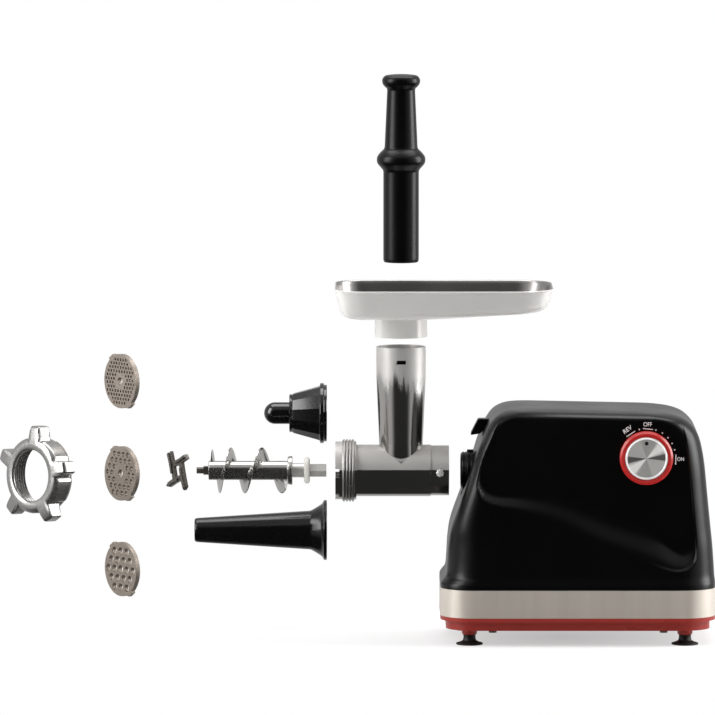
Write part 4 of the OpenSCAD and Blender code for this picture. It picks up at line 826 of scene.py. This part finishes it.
# inset from the rim's outline and height over the floor, outside then inside
WALL_PROFILE = [(26, 0.0), (19, 0.15), (14, 1.0), (10, 2.8), (7.2, 5.6), (5.6, 9.0), (4.2, 14.0),
                (2.9, 20.0), (1.7, 25.6), (0.9, 28.2), (0.15, 28.6), (0.0, 29.3), (0.4, 29.9),
                (1.1, 30.0), (1.8, 29.6), (2.4, 28.6), (3.2, 25.6), (4.4, 20.0), (5.7, 14.0),
                (7.1, 9.4), (8.9, 6.4), (11.6, 4.0), (15.0, 2.3), (19.6, 1.45), (26, 1.3)]
LIP_TOP = 13


def tray_ring(inset, height):
    """A rounded rectangle inside the rim's outline; the floor rises towards the far end."""
    radii = [max(LEAST_RADIUS, radius - inset * RADIUS_SHARE) for radius in TRAY_RADII]
    sizes = np.array([TRAY_LEFT + inset, TRAY_RIGHT - inset, TRAY_HALF - inset, *radii])
    columns = ring_columns(*sizes[:, None])[0]
    rise = FLOOR_SLOPE * np.maximum(columns[:, 0] - NECK_X - SLOPE_AHEAD, 0) * (1 - height / TRAY_H)
    return np.column_stack([columns, TRAY_FLOOR + height + rise])


def round_ring(radius, z):
    """A circle round the neck's axis with its points in the order of the tray's rings."""
    columns = ring_columns(*np.array([-100.0, 100.0, 100.0, 99.0, 99.0])[:, None])[0]
    columns *= radius / np.linalg.norm(columns, axis=1, keepdims=True)
    return np.column_stack([columns[:, 0] + NECK_X, columns[:, 1], np.full(len(columns), z)])


def steps_between(a, b):
    """Rings spread evenly over the floor between two rings, ends left out."""
    return [a + (b - a) * t for t in np.linspace(0, 1, FLOOR_RINGS + 2)[1:-1]]


# radius and height of the spigot's rings, outside and then inside
outer = [round_ring(*ring) for ring in (
    (SPIGOT_R - 0.9, TRAY_LOW), (SPIGOT_R - 0.2, TRAY_LOW + 0.1), (SPIGOT_R, TRAY_LOW + 0.7),
    (SPIGOT_R, TRAY_FLOOR - 1.2), (SPIGOT_R + 0.5, TRAY_FLOOR - 0.3), (SPIGOT_R + 1.4, TRAY_FLOOR))]
inner = [round_ring(*ring) for ring in (
    (NECK_BORE + 2.0, TRAY_FLOOR + 1.3), (NECK_BORE + 0.4, TRAY_FLOOR + 0.9),
    (NECK_BORE, TRAY_FLOOR + 0.5), (NECK_BORE, TRAY_FLOOR + LEDGE),
    (SPIGOT_BORE, TRAY_FLOOR + LEDGE), (SPIGOT_BORE, TRAY_LOW + 0.3))]
wall = [tray_ring(inset, height) for inset, height in WALL_PROFILE]
rows = outer + steps_between(outer[-1], wall[0]) + wall + steps_between(wall[-1], inner[0]) + inner
points, faces = shell(np.array(rows), loop=True)
inside_rows_painted_shade = range(len(outer) + FLOOR_RINGS + LIP_TOP, len(rows) - 3)
slots = [int(i // len(rows[0]) in inside_rows_painted_shade) for i in range(len(faces))]
satin_tray = finish("satin tray alloy", (0.86, 0.845, 0.82), 0.2, 0.5, patch=6, depth=0.000005)
# painted shade: the inside's alloy is far darker than the outside's, so the pan's inside looks
# shaded
tray_inside_painted_shade = finish("tray inside alloy with painted shade", (0.33, 0.32, 0.31), 0.3, 0.96, depth=0.000005)
build("tray_pan", [(points, faces, slots)], [satin_tray, tray_inside_painted_shade], "tray",
      crease=40, replaces=("hopper_tray",))

# ---------------- pusher
# A black pusher: hollow shank, ball collar, tapered handle and a flat knob.
SHANK_L = 92.5
PUSHER_STOP = edge("pusher", 0, 2) + SHANK_L
PUSHER_BORE = [(-6, 0.01), (-4.5, 15.2)]
PUSHER_PROFILE = eased([(-SHANK_L, 15.4), (-SHANK_L, 16.6), (-90.8, 17.75), (-0.6, 17.75),
                        (2.4, 20.4), (6.4, 23.9), (9.8, 24.4), (13.4, 23.9), (17.8, 20.4),
                        (21.2, 16.5), (81.0, 13.85), (83.2, 16.8), (86.6, 19.0), (90.8, 19.0),
                        (94.2, 16.2), (95.2, 8.0), (95.4, 0.01)], 2.2)
profile = np.vstack([PUSHER_BORE, PUSHER_PROFILE]) + (PUSHER_STOP, 0)
deep_black = finish("deep black plastic", (0.0015, 0.0015, 0.0016), 0.3, specular=0.2,
                    depth=0.000006)
build("pusher_body", [turned(profile, "z", (NECK_X, 0, 0))], [deep_black], "pusher",
      replaces=("pusher",))

# ---------------- auger and washer
# A cast screw whose pitch grows from the mouth to the back, with thin crests and filleted roots,
# a collar behind it, and the loose thrust washer on its shaft.
AUGER_X, AUGER_END = edge("auger_screw", 0, 0), edge("auger_screw", 1, 0)
FLIGHT_START, FIRST_PITCH, PITCH_GROWTH, TURNS = 3, 19.1, 11.7, 2.62
# half of the flight's section, radius and half thickness, from root to crest
FLIGHT_HALF = np.array([(8.6, 4.6), (9.7, 3.9), (11.2, 3.0), (13.5, 2.2), (17, 1.5), (20.5, 1.0),
                        (22.5, 0.7), (22.95, 0.35)])
FLIGHT_SECTION = np.vstack([FLIGHT_HALF * (1, -1), FLIGHT_HALF[::-1]])
FLIGHT_ROOT, START_SHARE, THIN_START, THICKEN = 8.6, 0.28, 0.3, 0.45


def flight_grid():
    """The section is carried round the axis; its place along X is a quadratic of the turns made,
    so each turn is longer than the one before. The first eighth of a turn grows from the root."""
    n = np.linspace(0, TURNS, 240)[:, None]
    angle = math.pi / 2 - 2 * math.pi * n
    along = FLIGHT_START + FIRST_PITCH * n + PITCH_GROWTH / 2 * (n * n - n)
    start = 1 - START_SHARE * np.clip(1 - n * 8, 0, 1) ** 2
    radius = FLIGHT_ROOT + (FLIGHT_SECTION[:, 0] - FLIGHT_ROOT) * start
    side = FLIGHT_SECTION[:, 1] * np.clip(THIN_START + n * THICKEN, 0, 1)
    return np.stack([AUGER_X + along + side, radius * np.cos(angle), radius * np.sin(angle)], -1)


root = eased([(AUGER_X, 5.0), (AUGER_X, 8.9), (AUGER_X + 0.6, 9.5), (AUGER_X + 79, 9.5),
              (AUGER_X + 79.4, 13.6), (AUGER_END - 1.2, 14.5), (AUGER_END - 0.4, 14.2),
              (AUGER_END, 13.4), (AUGER_END, 0.01)], 0.5)
core = np.vstack([[(AUGER_X + 0.3, 0.01), (AUGER_X + 0.3, 5.0)], root])
build("auger_casting", [(*shell(flight_grid()), 0), turned(core, count=72)],
      [cast], "auger", crease=50, replaces=("auger_screw",))
washer = eased([(0.6, 7.1), (0.08, 7.7), (0.08, 11.0), (1.6, 13.0), (4.6, 13.0), (5.92, 11.4),
                (5.92, 7.7), (5.4, 7.1)], 0.5) + (edge("thrust_washer", 0, 0), 0)
build("washer_ring", [turned(washer, loop=True)], [nylon], "thrust_washer",
      replaces=("thrust_washer",))

# ---------------- knife
# Four slightly curved blades round a square hole, each along one side of it, with a raised
# cutting strip down the middle.
KNIFE_X = JOINTS["knife_fit"]["pos_m"][0] * 1000
HOLE, BLADE_W, BLADE_TIP, SWEEP_R, BLADE_TURN, LEAN = 5.1, 5.6, 22.4, 23.1, 17.0, 3.0
BLADE_START, STRIP_W, STRIP_START, STRIP_OUT = -HOLE - 2.2, 2.6, -1.0, 0.8
BLADE_LOW, BLADE_HIGH, STRIP_LOW, STRIP_HIGH = -2.5, 1.3, -4.6, -2.4


def blade(width, start, tip, offset):
    """A strip that leans outward towards its tip along a parabola; its end follows the circle
    that the knife sweeps."""
    s = np.linspace(start, tip, 16)
    lean = LEAN * ((s - start) / (tip - start)) ** 2
    left = np.column_stack([s, offset - width / 2 + lean])
    right = np.column_stack([s, offset + width / 2 + lean])[::-1]
    outline = np.vstack([left, right])
    away = np.linalg.norm(outline, axis=1, keepdims=True)
    return outline * np.minimum(1, SWEEP_R / away) * (-1, 1)


middle = HOLE + BLADE_W / 2
body = blade(BLADE_W, BLADE_START, BLADE_TIP, middle)
strip = blade(STRIP_W, STRIP_START, BLADE_TIP - 1, middle + STRIP_OUT)
parts = []
for k in range(4):
    for outline, low, high in ((body, BLADE_LOW, BLADE_HIGH), (strip, STRIP_LOW, STRIP_HIGH)):
        outline = outline @ spin(90 * k - BLADE_TURN)
        points, faces, _ = prism(outline, KNIFE_X + low, KNIFE_X + high, "x")
        parts.append((shown("knife_fit", points), faces, 0))
build("knife_cross", parts, [dark_steel], "knife", bevel=0.4, replaces=("cross_knife",))

# ---------------- ring nut
# A bright casting: a round body with five finger lugs that run out from its front face and fade
# before its back, and a thread inside behind a thin front lip.
RING_X, LUGS, LUG_START, LUG_REACH, BODY_R = -130.0, 5, 93.0, 12.6, 37.4
# degrees from a lug's middle: its half width and flank, then where the flute between lugs starts
LUG_HALF, LUG_FLANK, FLUTE_FROM, FLUTE_OVER, FLUTE = 5.6, 7.5, 15, 5, 0.9
# along the ring, where the lugs fade and the body's front step starts
LUG_FADE, LUG_FADE_OVER, STEP_FROM, STEP_OVER = 15.5, 3.0, 1.0, 3.0
OUTER_FROM, OUTER_OVER, OUTER_ROWS = 33.0, 2.4, 32
RING_THREAD_R, RING_THREAD_HALF, RING_THREAD_PITCH = 32.3, 0.75, 3
RING_PROFILE = [(1.2, 25.5), (0.4, 26.2), (0.0, 27.2), (0, 31.5), (0.25, 33.5), (0.9, 35.0),
                (1.9, 36.2), (3.0, 37.0), (4.4, 37.4)]
RING_PROFILE += [(x, BODY_R) for x in np.linspace(5.4, 20.4, 16)]
RING_PROFILE += [(21.6, 37.2), (22.8, 36.6), (23.6, 35.7), (24, 34.6), (24, 33.4), (23.4, 32.6)]
turns = 2 * math.pi / RING_THREAD_PITCH
RING_PROFILE += [(x, RING_THREAD_R + RING_THREAD_HALF * math.cos(turns * x))
                 for x in np.linspace(22.8, 5.4, 60)]
RING_PROFILE += [(4.6, 32.1), (4.0, 31.4), (4.0, 26.4), (3.4, 25.6), (2.4, 25.4)]


def ring_grid():
    """A lathed profile pushed outward at the lugs: the push is a smooth step of the angle from the
    nearest lug, times a smooth step along the ring's length."""
    profile = np.array(RING_PROFILE)
    turn, pitch = circle(540), 360 / LUGS
    off = np.abs((np.degrees(turn) - LUG_START + pitch / 2) % pitch - pitch / 2)
    lug = 1 - smooth_step((off - LUG_HALF) / LUG_FLANK)
    flute = FLUTE * (1 - smooth_step((off - FLUTE_FROM) / FLUTE_OVER))
    x, r = profile.T
    outside = smooth_step((r - OUTER_FROM) / OUTER_OVER) * (np.arange(len(r)) < OUTER_ROWS)
    reach = outside * (1 - smooth_step((x - LUG_FADE) / LUG_FADE_OVER))
    body = outside * smooth_step((x - STEP_FROM) / STEP_OVER)
    radius = r[:, None] + LUG_REACH * reach[:, None] * lug - body[:, None] * flute
    return np.stack([RING_X + np.repeat(x[:, None], len(turn), axis=1),
                     radius * np.cos(turn), radius * np.sin(turn)], -1)


ring_alloy = finish("satin ring alloy", (0.34, 0.335, 0.325), 0.26, 0.93, depth=0.000004)
points, faces = shell(ring_grid(), loop=True)
build("ring_casting", [(shown("ring_fit", points), faces, 0)], [ring_alloy], "ring_nut", crease=50,
      replaces=("ring_nut",))

# ---------------- kebbe set
# Two glossy black mouldings: a twelve-sided cone with a round mouth and a stepped disc behind
# it, and a domed mandrel held in the middle of the mouth.
TOOL_X, TOOL_Y, KEBBE_Z, SAUSAGE_Z = -134.0, 88.0, 49.0, -70.0
CONE_FACETS, FACET_FROM, FACET_TO, OUTSIDE_ROWS = 12, 7.1, 35.5, 16
CONE_PROFILE = [(0.0, 23.5), (0.0, 28.2), (0.5, 28.7), (2.6, 28.7), (3.0, 29.1), (3.2, 30.2),
                (3.5, 30.4), (6.4, 30.4), (6.8, 30.1), (7.0, 29.4), (7.2, 28.4), (7.8, 27.8),
                (9.0, 27.4), (33.0, 20.6), (34.2, 20.0), (35.2, 19.2), (36.6, 19.3), (37.6, 19.0),
                (38.0, 18.3), (38.0, 17.4), (37.2, 16.8), (30.0, 17.6), (10.0, 22.0), (1.0, 23.0)]


def waisted(profile, low, high, outside, factor):
    """A lathed profile, as a loop, whose first rows are scaled round the turn by a factor where
    they lie between two levels."""
    grid = lathe(profile, "x", count=len(factor))
    level, row = np.array(profile)[:, 0], np.arange(len(profile))
    chosen = ((level > low) & (level < high) & (row < outside))[:, None]
    grid[..., 1:] *= np.where(chosen, factor, 1.0)[..., None]
    return shell(grid, loop=True)


def on_bench(points, height):
    """Turns a tool so that its mouth points to -X and sets it beside the auger."""
    return points * (-1, 1, 1) + (TOOL_X, TOOL_Y, height)


gloss_tool = finish("glossy tool plastic", (0.0025, 0.0025, 0.0027), 0.12, specular=0.6,
                    depth=0.000004)
# flat sides: the cosine of half a side's angle over that of the angle from a side's middle
pitch = 2 * math.pi / CONE_FACETS
flat = math.cos(pitch / 2) / np.cos((circle(240) + pitch / 2) % pitch - pitch / 2)
points, faces = waisted(CONE_PROFILE, FACET_FROM, FACET_TO, OUTSIDE_ROWS, flat)
build("kebbe_cone", [(on_bench(points, KEBBE_Z), faces, 0)], [gloss_tool], "kebbe_shaper",
      crease=14, replaces=("kebbe_shaper",))
MANDREL_L, MANDREL_R = 63.5, 11
ARM_OUTLINE = np.array([(8.0, -1.5), (21.2, -1.5), (21.2, 1.5), (8.0, 1.5)])
ARM_FROM, ARM_TO = 1.6, 5.4
dome = [(MANDREL_L - MANDREL_R + MANDREL_R * math.sin(a), MANDREL_R * math.cos(a))
        for a in np.radians(np.linspace(0, 89, 18))]
mandrel = [(1.0, 0.01), (1.0, 7.4), (1.6, 8.0), (6.0, 10.8), (7.0, 11.0)] + dome
parts = [turned(mandrel, count=72)]
parts += [prism(ARM_OUTLINE @ spin(45 + 90 * k), ARM_FROM, ARM_TO, "x") for k in range(4)]
parts = [(on_bench(points, KEBBE_Z), faces, 0) for points, faces, _ in parts]
build("kebbe_core", parts, [gloss_tool], "kebbe_mandrel", crease=40, replaces=("kebbe_mandrel",))

# ---------------- sausage tube
# A long tapered black tube with a rolled tip, faint draft flats along it, and a flared foot on
# a thin flange.
TUBE_PROFILE = [(0.0, 22.6), (0.0, 29.8), (0.6, 30.4), (2.6, 30.4), (3.2, 30.0), (3.8, 28.6),
                (4.6, 27.2), (6.5, 25.6), (10.0, 23.4), (14.0, 21.0), (16.0, 20.0), (17.5, 19.7),
                (70.0, 16.3), (130.0, 12.4), (132.2, 12.1), (133.4, 11.5), (134.0, 10.6),
                (133.8, 10.1), (132.0, 9.9), (70.0, 13.8), (16.0, 17.5), (4.0, 22.4)]
FLATS_FROM, FLATS_TO, TUBE_OUTSIDE, FLAT_SHARE, FLATS = 16.5, 131, 15, 0.012, 12
draft = 1 - FLAT_SHARE * np.cos(FLATS / 2 * circle(180)) ** 2
points, faces = waisted(TUBE_PROFILE, FLATS_FROM, FLATS_TO, TUBE_OUTSIDE, draft)
build("sausage_cone", [(on_bench(points, SAUSAGE_Z), faces, 0)], [tool_black], "sausage_tube",
      crease=30, replaces=("sausage_tube",))
